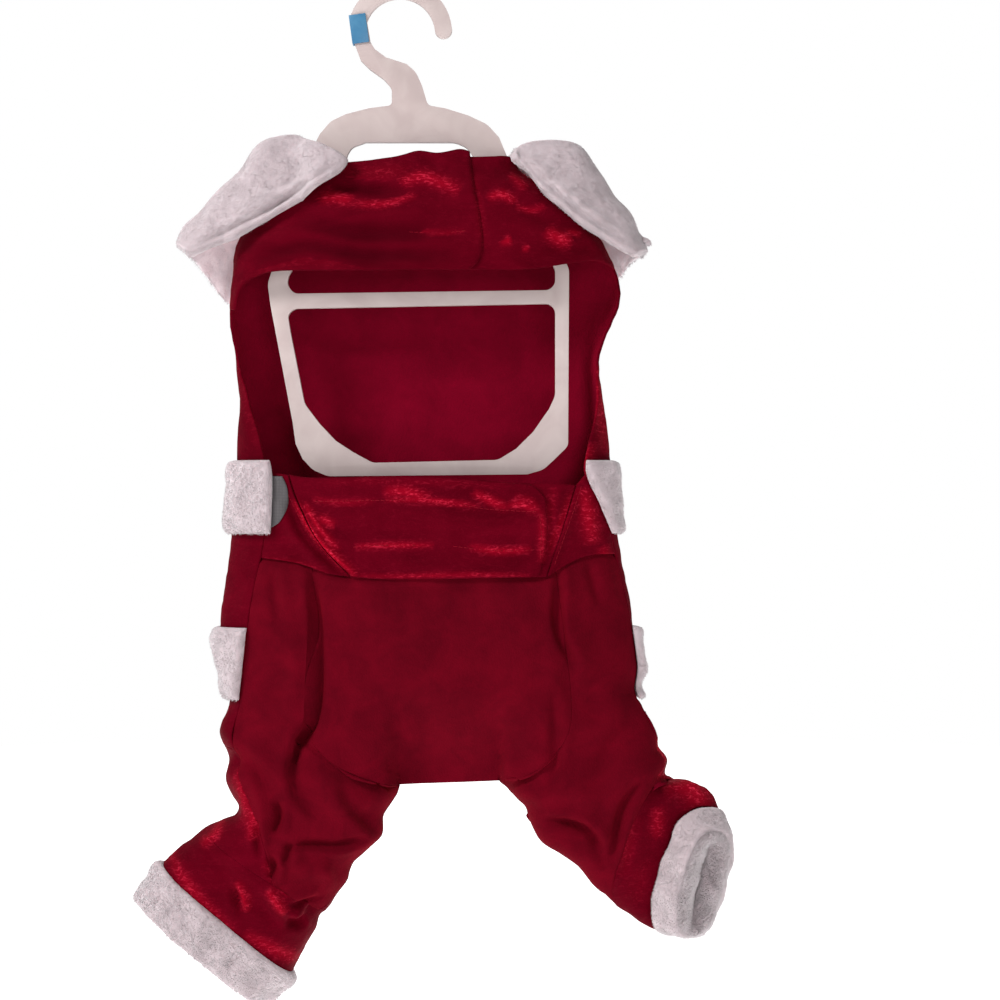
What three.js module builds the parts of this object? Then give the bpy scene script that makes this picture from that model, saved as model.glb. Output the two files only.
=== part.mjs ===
// Pet santa costume on its flat plastic hanger, belly side to the front (-Y).
// Millimetres, +Z up. The origin is the inner crown of the hook, where a rail carries the hanger.
// Cloth pieces are closed walls on two forms: the body tube, given by its oval sections, and the
// two trouser legs, given by tilted oval rings. What is sewn on a panel is made from that panel's
// points, moved out along its normals.
import * as THREE from 'three';

// ---------- driving dimensions ----------
const CLOTH = 1.6; // velvet or knit with its turned backing
const SEAM = 0.3; // gap between neighbouring pieces
const FUR_BAND = 6.5; // plush band, backing and pile
const FUR_COLLAR = 5.5; // plush collar, backing and pile
const LABEL = 0.8;
const FLATTEN = 0.35; // how much an oval section is squared towards flat faces

const HANGER_THICK = 4;
const HOOK_RADIUS = 19.25; // inside of the hook
const HOOK_STRIP = 9.5;
const HOOK_TIP_ANGLE = 5; // degrees above level where the hook ends
const HOOK_NECK_ANGLE = 160; // degrees where the hook runs into the neck

/** Turns rows of numbers into rows with named columns. */
const table = (columns, rows) => {
  const names = columns.split(' ');
  return rows.map((row) => Object.fromEntries(names.map((name, i) => [name, row[i]])));
};

// Oval sections of the body tube: side limits and the depth in front of and behind the hanger.
const BODY = table('z left right front back', [
  [-88, -55.2, 65, 13, 12],
  [-95, -55.6, 66.2, 15, 14],
  [-105, -64, 81, 18, 18],
  [-116, -76, 95, 20, 21],
  [-125, -83, 104, 21, 23],
  [-133, -88, 110.5, 22, 25],
  [-144, -91, 116, 23, 27],
  [-157, -93, 120.5, 24, 28],
  [-166, -93.7, 120.5, 24, 29],
  [-180, -93.5, 116.5, 24, 30],
  [-190, -91.5, 112, 24, 30],
  [-200, -89.3, 109.5, 24, 30],
  [-221, -88.5, 111.5, 24, 30],
  [-237, -89, 113.5, 24, 30],
  [-251, -89.5, 115, 24, 29],
  [-262, -90, 116, 24, 28],
  [-276, -91, 117, 24, 27],
  [-298, -93, 120, 24, 26],
  [-325, -96.5, 125, 24, 26],
  [-344, -98.5, 128, 24, 26],
  [-364, -97, 130, 24, 26],
  [-386, -94.5, 132, 24, 25],
  [-397, -95, 137, 24, 24],
  [-408, -95.6, 140.6, 24, 23],
  [-420, -95.5, 143.5, 23, 22],
  [-440, -94.5, 145, 22, 22],
]);

// Rings of the legs: the outer and the inner end of each oval, and its half depth as a vector.
const RING_COLUMNS = 'ax az bx bz vx vy vz';
const LEG_LEFT = table(RING_COLUMNS, [
  [-95.7, -410, -1, -432, 0, -22, 0],
  [-94.5, -424, -8, -448, 0, -24, 0],
  [-92.5, -437, -14, -462, 0, -24, 0],
  [-93, -448, -27, -478, 0, -24, -2],
  [-107, -456, -39.6, -501, 1, -23, -2],
]);
const BOOT_LEFT = table(RING_COLUMNS, [
  [-107, -456, -39.6, -501, 1, -23, -2],
  [-115, -461.5, -46, -508, 0, -23, 0],
  [-121, -466, -50.5, -517, 0, -22, 0],
  [-130, -475, -59, -534, 0, -21, 0],
]);
const CUFF_LEFT = table(RING_COLUMNS, [
  [-130, -475, -59, -534, 0, -21, 0],
  [-138.5, -485.5, -68, -544, 0, -21.5, 0],
  [-145, -494, -75.5, -552, 0, -21, 0],
]);
const LEG_RIGHT = table(RING_COLUMNS, [
  [140.8, -408, 54.5, -430, 0, -22, 0],
  [144.5, -417, 67, -442, 0, -24, 0],
  [146.5, -424.5, 74, -454, -3, -24, 0],
  [147, -427.5, 91, -470, -8, -23, 0],
  [147.5, -429, 124, -500, -14, -20, 0],
]);
const BOOT_RIGHT = table(RING_COLUMNS, [
  [147.5, -429, 124, -500, -14, -20, 0],
  [156, -429.5, 130, -504, -15, -18, 1],
  [164, -433.5, 139, -510, -16, -15, 2],
  [169.5, -444, 149, -514, -16, -11, 4],
]);
const CUFF_RIGHT = table(RING_COLUMNS, [
  [168.5, -446, 150, -512, -15, -10.3, 3.7],
  [170.5, -451, 154, -512, -13.5, -9.4, 3.5],
  [172, -456, 158, -511, -11, -8, 3],
]);
// How far the right cuff's rings stand in front of the hanger's plane.
const CUFF_RIGHT_FORWARD = [1, 9, 17];

// The two long hanging folds of the knit front, as troughs running down the cloth.
const FOLDS = table('xTop zTop xBottom zBottom width depth', [
  [-47, -316, -52, -424, 5, 3.2],
  [86, -316, 95, -400, 6, 2.4],
]);
const FOLD_FADE = 22; // run-out of a fold at its ends

const COLOURS = {
  velvet: ['#76060f', 0.42],
  knit: ['#74061c', 0.9],
  plush: ['#cbbcbf', 0.95],
  plastic: ['#cbbab8', 0.45],
  marker: ['#4a86b4', 0.4],
  label: ['#5f5a5c', 0.8],
};

// ---------- curves and sections ----------
const lerp = (a, b, t) => a + (b - a) * t;
const clamp = (value, low, high) => Math.min(high, Math.max(low, value));
const smooth = (t) => {
  const c = clamp(t, 0, 1);
  return c * c * (3 - 2 * c);
};

/** Reads a table at a height by a curve through its rows. */
function sectionAt(rows, z) {
  let i = rows.findIndex((row) => row.z <= z);
  if (i < 1) i = i === 0 ? 1 : rows.length - 1;
  const at = (k) => rows[clamp(k, 0, rows.length - 1)];
  const t = clamp((z - at(i - 1).z) / (at(i).z - at(i - 1).z), 0, 1);
  const section = {};
  for (const name of Object.keys(rows[0])) {
    const [p0, p1, p2, p3] = [at(i - 2)[name], at(i - 1)[name], at(i)[name], at(i + 1)[name]];
    const bend = 2 * p0 - 5 * p1 + 4 * p2 - p3;
    const twist = -p0 + 3 * p1 - 3 * p2 + p3;
    section[name] = 0.5 * (2 * p1 + (p2 - p0) * t + bend * t * t + twist * t * t * t);
  }
  return section;
}

/** Squared oval: the share of the depth at a sine, flatter than a true ellipse. */
const ovalDepth = (sine) => sine * (1 + FLATTEN * (1 - sine * sine));

/** Depth of the two leg tops and of the crotch between them, along the body's lower edge. */
function legDepth(x, rings) {
  const [left, right] = rings;
  for (const { ax, bx, vy } of [left, right]) {
    const cosine = (x - (ax + bx) / 2) / (Math.abs(ax - bx) / 2);
    if (Math.abs(cosine) < 1) return Math.max(-vy * ovalDepth(Math.sqrt(1 - cosine * cosine)), CROTCH_HALF);
  }
  return CROTCH_HALF;
}
const CROTCH_HALF = CLOTH + SEAM / 2;
const SPLIT_TOP = -375; // height where the body starts to part into legs

/** Height of the body's lower edge, where the legs start. */
function lowerEdge(x) {
  const [left, right] = [LEG_LEFT[0], LEG_RIGHT[0]];
  if (x < left.bx) return lerp(left.az, left.bz, clamp((x - left.ax) / (left.bx - left.ax), 0, 1));
  if (x > right.bx) return lerp(right.bz, right.az, clamp((x - right.bx) / (right.ax - right.bx), 0, 1));
  return lerp(left.bz, right.bz, (x - left.bx) / (right.bx - left.bx));
}

/** Depth of the hanging folds at a point of the knit front. */
function foldDepth(x, z) {
  let depth = 0;
  for (const fold of FOLDS) {
    const run = clamp((z - fold.zTop) / (fold.zBottom - fold.zTop), 0, 1);
    const middle = lerp(fold.xTop, fold.xBottom, run);
    const fade = smooth((fold.zTop - z) / FOLD_FADE) * smooth((z - fold.zBottom) / FOLD_FADE);
    depth += fold.depth * fade * Math.exp(-(((x - middle) / fold.width) ** 2));
  }
  return depth;
}

/** Point of the body's outer face. phi: 0 right side, 90 back, 180 left side, 270 front, in degrees. */
function bodyPoint(phi, z) {
  const { left, right, front, back } = sectionAt(BODY, z);
  const angle = THREE.MathUtils.degToRad(phi);
  const x = (left + right) / 2 + ((right - left) / 2) * Math.cos(angle);
  const sine = Math.sin(angle);
  const face = sine < 0 ? -1 : 1;
  let depth = (face < 0 ? front : back) * ovalDepth(Math.abs(sine));
  if (z < SPLIT_TOP) {
    const share = smooth((SPLIT_TOP - z) / (SPLIT_TOP - lowerEdge(x)));
    depth = lerp(depth, legDepth(x, [LEG_LEFT[0], LEG_RIGHT[0]]), share);
  }
  if (face < 0) depth = Math.max(depth - foldDepth(x, z), Math.min(depth, CROTCH_HALF));
  return new THREE.Vector3(x, face * depth, z);
}

/** Angle on the body's front (or back) of the point at x. */
function angleAt(x, z, back = false) {
  const { left, right } = sectionAt(BODY, z);
  const cosine = clamp((x - (left + right) / 2) / ((right - left) / 2), -1, 1);
  const angle = THREE.MathUtils.radToDeg(Math.acos(cosine));
  return back ? angle : 360 - angle;
}

/** Point of a form with its outward normal, from the form's slope both ways. */
function skinPoint(form, u, v, du, dv) {
  const across = form(u + du, v).sub(form(u - du, v));
  const normal = across.cross(form(u, v + dv).sub(form(u, v - dv))).normalize();
  return { p: form(u, v), n: normal };
}
const bodySkin = (phi, z) => skinPoint(bodyPoint, phi, z, 0.4, 0.8);
const frontSkin = (x, z) => bodySkin(angleAt(x, z), z);

/** Point of a leg ring. theta: 0 outer end, 90 front, 180 inner end, 270 back, in degrees. */
function ringPoint(ring, theta, forward = 0) {
  const angle = THREE.MathUtils.degToRad(theta);
  const sine = Math.sin(angle);
  const across = Math.cos(angle) / 2;
  const depth = Math.sign(sine) * ovalDepth(Math.abs(sine));
  return new THREE.Vector3(
    (ring.ax + ring.bx) / 2 + (ring.ax - ring.bx) * across + ring.vx * depth,
    ring.vy * depth - forward,
    (ring.az + ring.bz) / 2 + (ring.az - ring.bz) * across + ring.vz * depth,
  );
}

/** Point of an open line at share t of its length. Each row of the line has x and z. */
function along(line, t) {
  const steps = line.slice(1).map((p, i) => Math.hypot(p.x - line[i].x, p.z - line[i].z));
  let left = t * steps.reduce((sum, step) => sum + step, 0);
  for (let i = 0; i < steps.length; i += 1) {
    if (left <= steps[i] || i === steps.length - 1) {
      const share = clamp(left / steps[i], 0, 1);
      return { x: lerp(line[i].x, line[i + 1].x, share), z: lerp(line[i].z, line[i + 1].z, share) };
    }
    left -= steps[i];
  }
  return line[line.length - 1];
}

/** Outline points spread over a four-sided patch between its edge lines. */
function patch({ top, bottom, left, right }, rows, cols) {
  const corners = [along(top, 0), along(top, 1), along(bottom, 0), along(bottom, 1)];
  return Array.from({ length: rows + 1 }, (_, i) => Array.from({ length: cols + 1 }, (__, j) => {
    const [v, u] = [i / rows, j / cols];
    const edges = [along(top, u), along(bottom, u), along(left, v), along(right, v)];
    const mix = (k) => (1 - v) * edges[0][k] + v * edges[1][k] + (1 - u) * edges[2][k] + u * edges[3][k]
      - (1 - v) * ((1 - u) * corners[0][k] + u * corners[1][k])
      - v * ((1 - u) * corners[2][k] + u * corners[3][k]);
    return { x: mix('x'), z: mix('z') };
  }));
}

// ---------- walls ----------
/** Gives each point of a free grid its normal, on the side that the grid faces. */
function freeSkin(points, facing) {
  const [rows, cols] = [points.length, points[0].length];
  const pick = (i, j) => points[clamp(i, 0, rows - 1)][clamp(j, 0, cols - 1)];
  return points.map((row, i) => row.map((p, j) => {
    const across = pick(i, j + 1).clone().sub(pick(i, j - 1));
    const n = across.cross(pick(i + 1, j).clone().sub(pick(i - 1, j))).normalize();
    return { p, n: n.dot(facing) < 0 ? n.negate() : n };
  }));
}

/**
 * Closed wall on a grid of skin points: one skin at distance low, one at distance high along
 * the normals, and rims between them. A ring's columns close on themselves.
 */
function wall(grid, low, high, ring = false) {
  const [rows, cols] = [grid.length, grid[0].length];
  const positions = [];
  for (const distance of [low, high]) {
    for (const { p, n } of grid.flat()) {
      const d = typeof distance === 'function' ? distance(p) : distance;
      positions.push(...p.clone().addScaledVector(n, d).toArray());
    }
  }
  const id = (skin, i, j) => skin * rows * cols + i * cols + (j % cols);
  const index = [];
  const quad = (a, b, c, d) => index.push(a, b, c, a, c, d);
  const spans = ring ? cols : cols - 1;
  for (let i = 0; i < rows - 1; i += 1) {
    for (let j = 0; j < spans; j += 1) {
      quad(id(0, i, j), id(0, i + 1, j), id(0, i + 1, j + 1), id(0, i, j + 1));
      quad(id(1, i, j), id(1, i, j + 1), id(1, i + 1, j + 1), id(1, i + 1, j));
    }
  }
  for (let j = 0; j < spans; j += 1) {
    quad(id(0, 0, j), id(0, 0, j + 1), id(1, 0, j + 1), id(1, 0, j));
    quad(id(0, rows - 1, j), id(1, rows - 1, j), id(1, rows - 1, j + 1), id(0, rows - 1, j + 1));
  }
  if (!ring) {
    for (let i = 0; i < rows - 1; i += 1) {
      quad(id(0, i, 0), id(1, i, 0), id(1, i + 1, 0), id(0, i + 1, 0));
      quad(id(0, i, cols - 1), id(0, i + 1, cols - 1), id(1, i + 1, cols - 1), id(1, i, cols - 1));
    }
  }
  const geometry = new THREE.BufferGeometry();
  geometry.setAttribute('position', new THREE.Float32BufferAttribute(positions, 3));
  geometry.setIndex(signedVolume(positions, index) < 0 ? index.reverse() : index);
  geometry.computeVertexNormals();
  return geometry;
}

function signedVolume(positions, index) {
  const at = (k) => new THREE.Vector3().fromArray(positions, 3 * index[k]);
  let volume = 0;
  for (let k = 0; k < index.length; k += 3) volume += at(k).dot(at(k + 1).cross(at(k + 2))) / 6;
  return volume;
}

// ---------- the costume ----------
const costume = new THREE.Group();
costume.name = 'pet_santa_costume_on_hanger';

function add(name, colour, geometry) {
  const [color, roughness] = COLOURS[colour];
  const mesh = new THREE.Mesh(geometry, new THREE.MeshStandardMaterial({ color, roughness, metalness: 0 }));
  mesh.name = name;
  costume.add(mesh);
}

const xz = (rows) => table('x z', rows);

/** Cloth panel on the body's front, between four outline lines. */
function frontPanel(name, colour, edges, rows, cols, lift = 0) {
  const grid = patch(edges, rows, cols).map((row) => row.map(({ x, z }) => frontSkin(x, z)));
  const shift = (extra) => (typeof lift === 'function' ? (p) => lift(p) + extra : lift + extra);
  add(name, colour, wall(grid, shift(-CLOTH), shift(0)));
}

// ----- coat back: velvet from the nape to the hem, turned round to the front edges -----
// How far the back panels turn round each side to the front, in degrees of the body's oval.
const COAT_EDGES = table('z left right', [
  [-95, 0, 0],
  [-172, 0, 0],
  [-185, 2.5, 0],
  [-199, 7, 3],
  [-215, 15, 11],
  [-221, 18, 14],
  [-237, 27, 23],
  [-253, 33, 30],
  [-262, 35, 30.6],
  [-276, 35.6, 24],
  [-298, 35.4, 14.5],
  [-330, 32.5, 11.2],
  [-352, 30.2, 7.6],
  [-381, 22.5, 4.5],
  [-410.5, 17.7, 6.7],
]);
const COAT_TOP = xz([[-52, -95.5], [-26, -98], [5, -100], [36, -98.5], [62.5, -95.5]]);
const COAT_HEM = -352;

const halfSeam = (z) => ((SEAM * 0.7) / sectionAt(BODY, z).front) * THREE.MathUtils.RAD2DEG;

/** Angles of the back panels' two edges at a height, drawn in by half a seam. */
function backEdges(z) {
  const { left, right } = sectionAt(COAT_EDGES, z);
  return { leftAngle: 180 + left - halfSeam(z), rightAngle: halfSeam(z) - right };
}

/** The line along the back panels' edge that a front piece meets, one seam away. */
function sideSeam(side, zTop, zBottom) {
  const count = Math.round((zTop - zBottom) / 4);
  return Array.from({ length: count + 1 }, (_, i) => {
    const z = lerp(zTop, zBottom, i / count);
    const turn = sectionAt(COAT_EDGES, z)[side] + halfSeam(z);
    return { x: bodyPoint(side === 'left' ? 180 + turn : 360 - turn, z).x, z };
  });
}

/** Grid on the back panels from one height line to another, right edge to left edge. */
function backGrid(topOf, bottomOf, rows, cols, span = [0, 1]) {
  return Array.from({ length: rows + 1 }, (_, i) => Array.from({ length: cols + 1 }, (__, j) => {
    const u = lerp(span[0], span[1], j / cols);
    let z = lerp(topOf(0), bottomOf(0), i / rows);
    let phi = 0;
    for (let pass = 0; pass < 4; pass += 1) {
      const { leftAngle, rightAngle } = backEdges(z);
      phi = lerp(rightAngle, leftAngle, u);
      const { x } = bodyPoint(phi, z);
      z = lerp(topOf(x), bottomOf(x), i / rows);
    }
    return bodySkin(phi, z);
  }));
}

const heightOn = (line) => (x) => {
  const i = clamp(line.findIndex((p) => p.x > x), 1, line.length - 1);
  const [a, b] = [line[i - 1], line[i]];
  return lerp(a.z, b.z, clamp((x - a.x) / (b.x - a.x), 0, 1));
};
const flat = (z) => () => z;

const BACK_COLS = 26;
add('coat_back', 'velvet', wall(backGrid(heightOn(COAT_TOP), flat(COAT_HEM), 20, BACK_COLS), -CLOTH, 0));
const SEAT_GAP = 0.8;
add('seat_back', 'velvet', wall(
  backGrid(flat(COAT_HEM - SEAM), (x) => lowerEdge(x) + SEAT_GAP, 7, BACK_COLS), -CLOTH, 0,
));

// ----- plush bands across the back, ends caught in the side seams -----
const WAIST_BAND = { top: -254, bottom: -294 };
const HEM_BAND = { top: -345, bottom: -384.5 };
const BAND_LIFT = 0.45;
for (const [name, { top, bottom }] of [['waist_fur_band', WAIST_BAND], ['hem_fur_band', HEM_BAND]]) {
  add(name, 'plush', wall(backGrid(flat(top), flat(bottom), 4, BACK_COLS), BAND_LIFT, BAND_LIFT + FUR_BAND));
}

// ----- chest band: two velvet halves that close over each other with touch tape -----
const CHEST_LAP = { from: -12, to: 3, lift: CLOTH + SEAM };
const lapLift = ({ from, to, lift }) => (p) => lift * smooth((p.x - from) / (to - from));
frontPanel('chest_band_left', 'velvet', {
  top: xz([[-55.4, -95.2], [-30, -92], [0, -88.6], [12, -85.6], [22, -86.8], [33, -84.6], [38.5, -85.8]]),
  bottom: xz([[-90.5, -172], [-86, -158.5], [-76.5, -153.5], [-64, -151.3], [-30, -151.5], [38, -151.8]]),
  left: [...sideSeam('left', -95.2, -170), ...xz([[-90.5, -172]])],
  right: xz([[38.5, -85.8], [40.7, -105], [44, -121.5], [45.6, -138], [43, -147], [38, -151.8]]),
}, 11, 14, lapLift(CHEST_LAP));
frontPanel('chest_band_right', 'velvet', {
  top: xz([[5, -88.6], [41, -88.5], [55, -87.5], [60.3, -88.5], [66, -95.2]]),
  bottom: xz([[5, -151.3], [45, -151.3], [70, -150.5], [88, -147.5], [105, -145.5], [117.5, -149]]),
  left: xz([[5, -88.6], [5, -151.3]]),
  right: sideSeam('right', -95.2, -149),
}, 10, 11);

// ----- side yokes and the two halves of the belly strap -----
const YOKE_LEFT = {
  top: xz([[-71.2, -260.5], [-59.8, -262]]),
  bottom: xz([[-74.4, -307], [-55, -309.5], [-38.5, -315], [-26, -317]]),
  left: sideSeam('left', -260.5, -307),
  right: xz([[-59.8, -262], [-55, -276], [-42, -300], [-26, -317]]),
};
frontPanel('side_yoke_left', 'velvet', YOKE_LEFT, 8, 4);
frontPanel('side_yoke_right', 'velvet', {
  top: xz([[96.6, -267.5], [101.3, -262]]),
  bottom: xz([[80.5, -317], [99, -306.5], [117.2, -304.8]]),
  left: xz([[96.6, -267.5], [88.5, -293], [80.5, -317]]),
  right: sideSeam('right', -262, -304.8),
}, 8, 4);
const BELLY_LAP = { from: 14, to: 28, lift: CLOTH + SEAM };
frontPanel('belly_strap_left', 'velvet', {
  top: xz([[-59.3, -261.8], [-44, -263.5], [11, -262.5], [60.5, -266.2], [73, -268], [79.6, -275]]),
  bottom: xz([[-25.2, -317], [0, -318.5], [70, -317]]),
  left: xz([[-59.3, -261.8], [-54.4, -276], [-41.4, -300], [-25.2, -317]]),
  right: xz([[79.6, -275], [81, -292], [78, -308], [75.6, -316.4], [70, -317]]),
}, 8, 15, lapLift(BELLY_LAP));
frontPanel('belly_strap_right', 'velvet', {
  top: xz([[30, -266], [80, -266.5], [96, -267.5]]),
  bottom: xz([[30, -317.5], [79.9, -317.3]]),
  left: xz([[30, -266], [30, -317.5]]),
  right: xz([[96, -267.5], [88, -293], [79.9, -317.3]]),
}, 8, 7);

// ----- plain woven label on the left yoke, tucked under the plush band's end -----
const LABEL_EDGES = {
  top: xz([[-70, -262.5], [-62.5, -262.8]]),
  bottom: xz([[-71.2, -291.5], [-67.5, -290]]),
  left: xz([[-70, -262.5], [-71.2, -291.5]]),
  right: xz([[-62.5, -262.8], [-59.6, -270], [-60, -280], [-63.5, -287], [-67.5, -290]]),
};
add('side_label', 'label', wall(
  patch(LABEL_EDGES, 5, 2).map((row) => row.map(({ x, z }) => frontSkin(x, z))), SEAM, SEAM + LABEL,
));

// ----- knit front: belly panel between two leg fronts -----
const KNIT_TOP = -318.9;
const FRONT_ROWS = 13;
const SEAM_LEFT = xz([[-46.5, -318.9], [-45.5, -350], [-50, -386], [-49, -402], [-38, -416], [-20, -426], [-1, -431.7]]);
const SEAM_RIGHT = xz([[85.5, -318.9], [90, -350], [93.5, -380], [92.5, -400], [83, -415], [70, -424.5], [54.5, -429.7]]);
const shifted = (line, dx) => line.map(({ x, z }) => ({ x: x + dx, z }));
frontPanel('belly_panel', 'knit', {
  top: xz([[-46.2, KNIT_TOP], [0, KNIT_TOP - 1.4], [85.2, KNIT_TOP]]),
  bottom: xz([[-0.7, -431.5], [54.2, -429.5]]),
  left: shifted(SEAM_LEFT, SEAM / 2),
  right: shifted(SEAM_RIGHT, -SEAM / 2),
}, FRONT_ROWS, 14);

/** Draws the first and last rows of a grid back towards their neighbours. */
const trimmed = (rows, top, bottom) => rows.map((row, i) => {
  const neighbour = i === 0 ? rows[1] : rows[rows.length - 2];
  const gap = i === 0 ? top : bottom;
  if ((i !== 0 && i !== rows.length - 1) || gap === 0) return row;
  return row.map(({ p, n }, j) => ({ p: p.clone().add(neighbour[j].p.clone().sub(p).setLength(gap)), n }));
});

/** Leg front: rows on the body's front, then rows on the leg's rings, as one grid. */
function legFront(name, upper, upperRows, rings, spans, cols, ringRows) {
  const body = patch(upper, upperRows, cols).map((row) => row.map(({ x, z }) => frontSkin(x, z)));
  const leg = trimmed(ringGrid(rings, spans, cols, ringRows), 0, SEAM * 2);
  add(name, 'knit', wall([...body, ...leg.slice(1)], -CLOTH, 0));
}

/** Grid on stacked rings: a curve through the ring table, an angle range for each ring. */
function ringGrid(rings, spans, cols, rows, forward = null, closed = false) {
  const listed = rings.map((ring, i) => ({ ...ring, z: -i, ...(spans ? spans[i] : {}), lead: forward?.[i] ?? 0 }));
  return Array.from({ length: rows + 1 }, (_, i) => {
    const ring = sectionAt(listed, -(i / rows) * (rings.length - 1));
    const form = (theta, level) => {
      const at = sectionAt(listed, level);
      return ringPoint(at, theta, at.lead);
    };
    return Array.from({ length: closed ? cols : cols + 1 }, (__, j) => {
      const theta = closed ? (360 * j) / cols : lerp(ring.from, ring.to, j / cols);
      const skin = skinPoint(form, theta, ring.z, 1, 0.05);
      const middle = ringPoint(ring, 0, ring.lead).add(ringPoint(ring, 180, ring.lead)).multiplyScalar(0.5);
      if (skin.n.dot(skin.p.clone().sub(middle)) < 0) skin.n.negate();
      return skin;
    });
  });
}

// Knit part of each ring, in degrees from the outer end; the velvet takes the rest.
const KNIT_LEFT = table('from to', [[28.4, 178], [36, 178], [48, 178], [68, 176], [98, 158]]);
const KNIT_RIGHT = table('from to', [[14, 178], [16, 178], [20, 178], [24, 168], [32, 150]]);
const RING_SEAM = 1.2; // degrees left open at each lengthways seam of a leg
const RING_COLS = 24;

for (const side of [
  {
    name: 'left', rings: LEG_LEFT, knit: KNIT_LEFT, seam: SEAM_LEFT, dx: -SEAM / 2,
    outer: sideSeam('left', -307.8, -400), middle: { x: -55, z: -310.8 },
  },
  {
    name: 'right', rings: LEG_RIGHT, knit: KNIT_RIGHT, seam: SEAM_RIGHT, dx: SEAM / 2,
    outer: sideSeam('right', -305.6, -398), middle: { x: 99, z: -307.8 },
  },
]) {
  const start = ringPoint(side.rings[0], side.knit[0].from);
  const end = ringPoint(side.rings[0], side.knit[0].to);
  const outerLine = [...side.outer, { x: start.x, z: start.z }];
  const innerLine = [...shifted(side.seam.slice(0, -1), side.dx), { x: end.x, z: end.z }];
  const bottom = Array.from({ length: 9 }, (_, i) => {
    const p = ringPoint(side.rings[0], lerp(side.knit[0].from, side.knit[0].to, i / 8));
    return { x: p.x, z: p.z };
  });
  const top = [side.outer[0], side.middle, innerLine[0]];
  const edges = { top, bottom, left: outerLine, right: innerLine };
  legFront(`leg_front_${side.name}`, edges, FRONT_ROWS, side.rings, side.knit, 9, 8);
}

// ----- velvet leg backs, boots and plush cuffs -----
const backSpan = (knit) => knit.map(({ from, to }) => ({ from: to + RING_SEAM, to: from + 360 - RING_SEAM }));
for (const side of [
  { name: 'left', leg: LEG_LEFT, knit: KNIT_LEFT, boot: BOOT_LEFT, cuff: CUFF_LEFT, forward: null },
  { name: 'right', leg: LEG_RIGHT, knit: KNIT_RIGHT, boot: BOOT_RIGHT, cuff: CUFF_RIGHT, forward: CUFF_RIGHT_FORWARD },
]) {
  add(`leg_back_${side.name}`, 'velvet', wall(
    trimmed(ringGrid(side.leg, backSpan(side.knit), 14, 8), SEAM, SEAM * 2), -CLOTH, 0,
  ));
  add(`boot_${side.name}`, 'velvet', wall(
    trimmed(ringGrid(side.boot, null, RING_COLS, 6, null, true), SEAM, SEAM * 2), -CLOTH, 0, true,
  ));
  add(`cuff_${side.name}`, 'plush', wall(
    ringGrid(side.cuff, null, RING_COLS, 4, side.forward, true), -CLOTH, FUR_BAND - CLOTH, true,
  ));
}

// ----- plush collar: two front wings and the back, meeting on the shoulder ridges -----
const RIDGE_LEFT = xz([[-119.9, -137], [-117.7, -130.4], [-113.9, -124.9], [-104.5, -115], [-95.7, -105.6],
  [-87.5, -98.5], [-80.9, -88.6], [-74.8, -80.3], [-68.2, -77.5], [-58.3, -77], [-48.3, -80.6]]);
const RIDGE_RIGHT = xz([[62.6, -84.7], [72, -81], [87.5, -79.8], [97.4, -82.5], [105, -94], [113.9, -106.7],
  [124.9, -120.5], [134.2, -132], [135.3, -135.3], [133, -141.4]]);
const COLLAR_ROLL = { depth: 15, reach: 13, neckGap: 2.7 };

/** Depth of a collar layer off the hanger's plane: rolls away from the ridge, lies on the body. */
function collarDepth({ x, z }, ridgeZ, back) {
  const drop = Math.max(ridgeZ - z, 0);
  const middle = 1 - smooth((Math.abs(x - 5) - 48) / 14);
  const roll = COLLAR_ROLL.depth * (1 - Math.exp(-drop / COLLAR_ROLL.reach));
  const lining = SEAM / 2 + COLLAR_ROLL.neckGap * middle + (back ? middle * 9 : middle * 8);
  const body = sectionAt(BODY, z);
  const cosine = (x - (body.left + body.right) / 2) / ((body.right - body.left) / 2);
  const onBody = Math.abs(cosine) < 1 && z < -90
    ? (back ? body.back : body.front) * ovalDepth(Math.sqrt(1 - cosine * cosine)) + SEAM * 3 + (back ? 0 : 1)
    : 0;
  return Math.max(roll + lining, onBody);
}

function collarPiece(name, edges, ridge, rows, cols, back) {
  const ridgeAt = heightOn([...ridge].sort((p, q) => p.x - q.x));
  const points = patch(edges, rows, cols).map((row) => row.map((p) => (
    new THREE.Vector3(p.x, (back ? 1 : -1) * collarDepth(p, ridgeAt(p.x), back), p.z))));
  add(name, 'plush', wall(freeSkin(points, new THREE.Vector3(0, back ? 1 : -1, 0)), 0, FUR_COLLAR));
}
collarPiece('collar_front_left', {
  top: [...RIDGE_LEFT, ...xz([[-33.5, -87.5], [-27, -92]])],
  bottom: xz([[-113.9, -144], [-98.5, -137.5], [-88, -133.7], [-75.4, -126.5], [-64.4, -120.5], [-54.5, -115],
    [-46.2, -109.5], [-40.7, -105], [-31.9, -99.6], [-28, -95]]),
  left: xz([[-119.9, -137], [-113.9, -144]]),
  right: xz([[-27, -92], [-28, -95]]),
}, RIDGE_LEFT, 6, 16, false);
collarPiece('collar_front_right', {
  top: [...xz([[60, -87.5]]), ...RIDGE_RIGHT],
  bottom: xz([[61, -91.3], [69.9, -97.9], [79.2, -110], [89.1, -118.3], [100, -127.6], [111, -134.2],
    [118.8, -139.2], [127, -143.6]]),
  left: xz([[60, -87.5], [61, -91.3]]),
  right: xz([[133, -141.4], [127, -143.6]]),
}, RIDGE_RIGHT, 6, 14, false);
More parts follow.
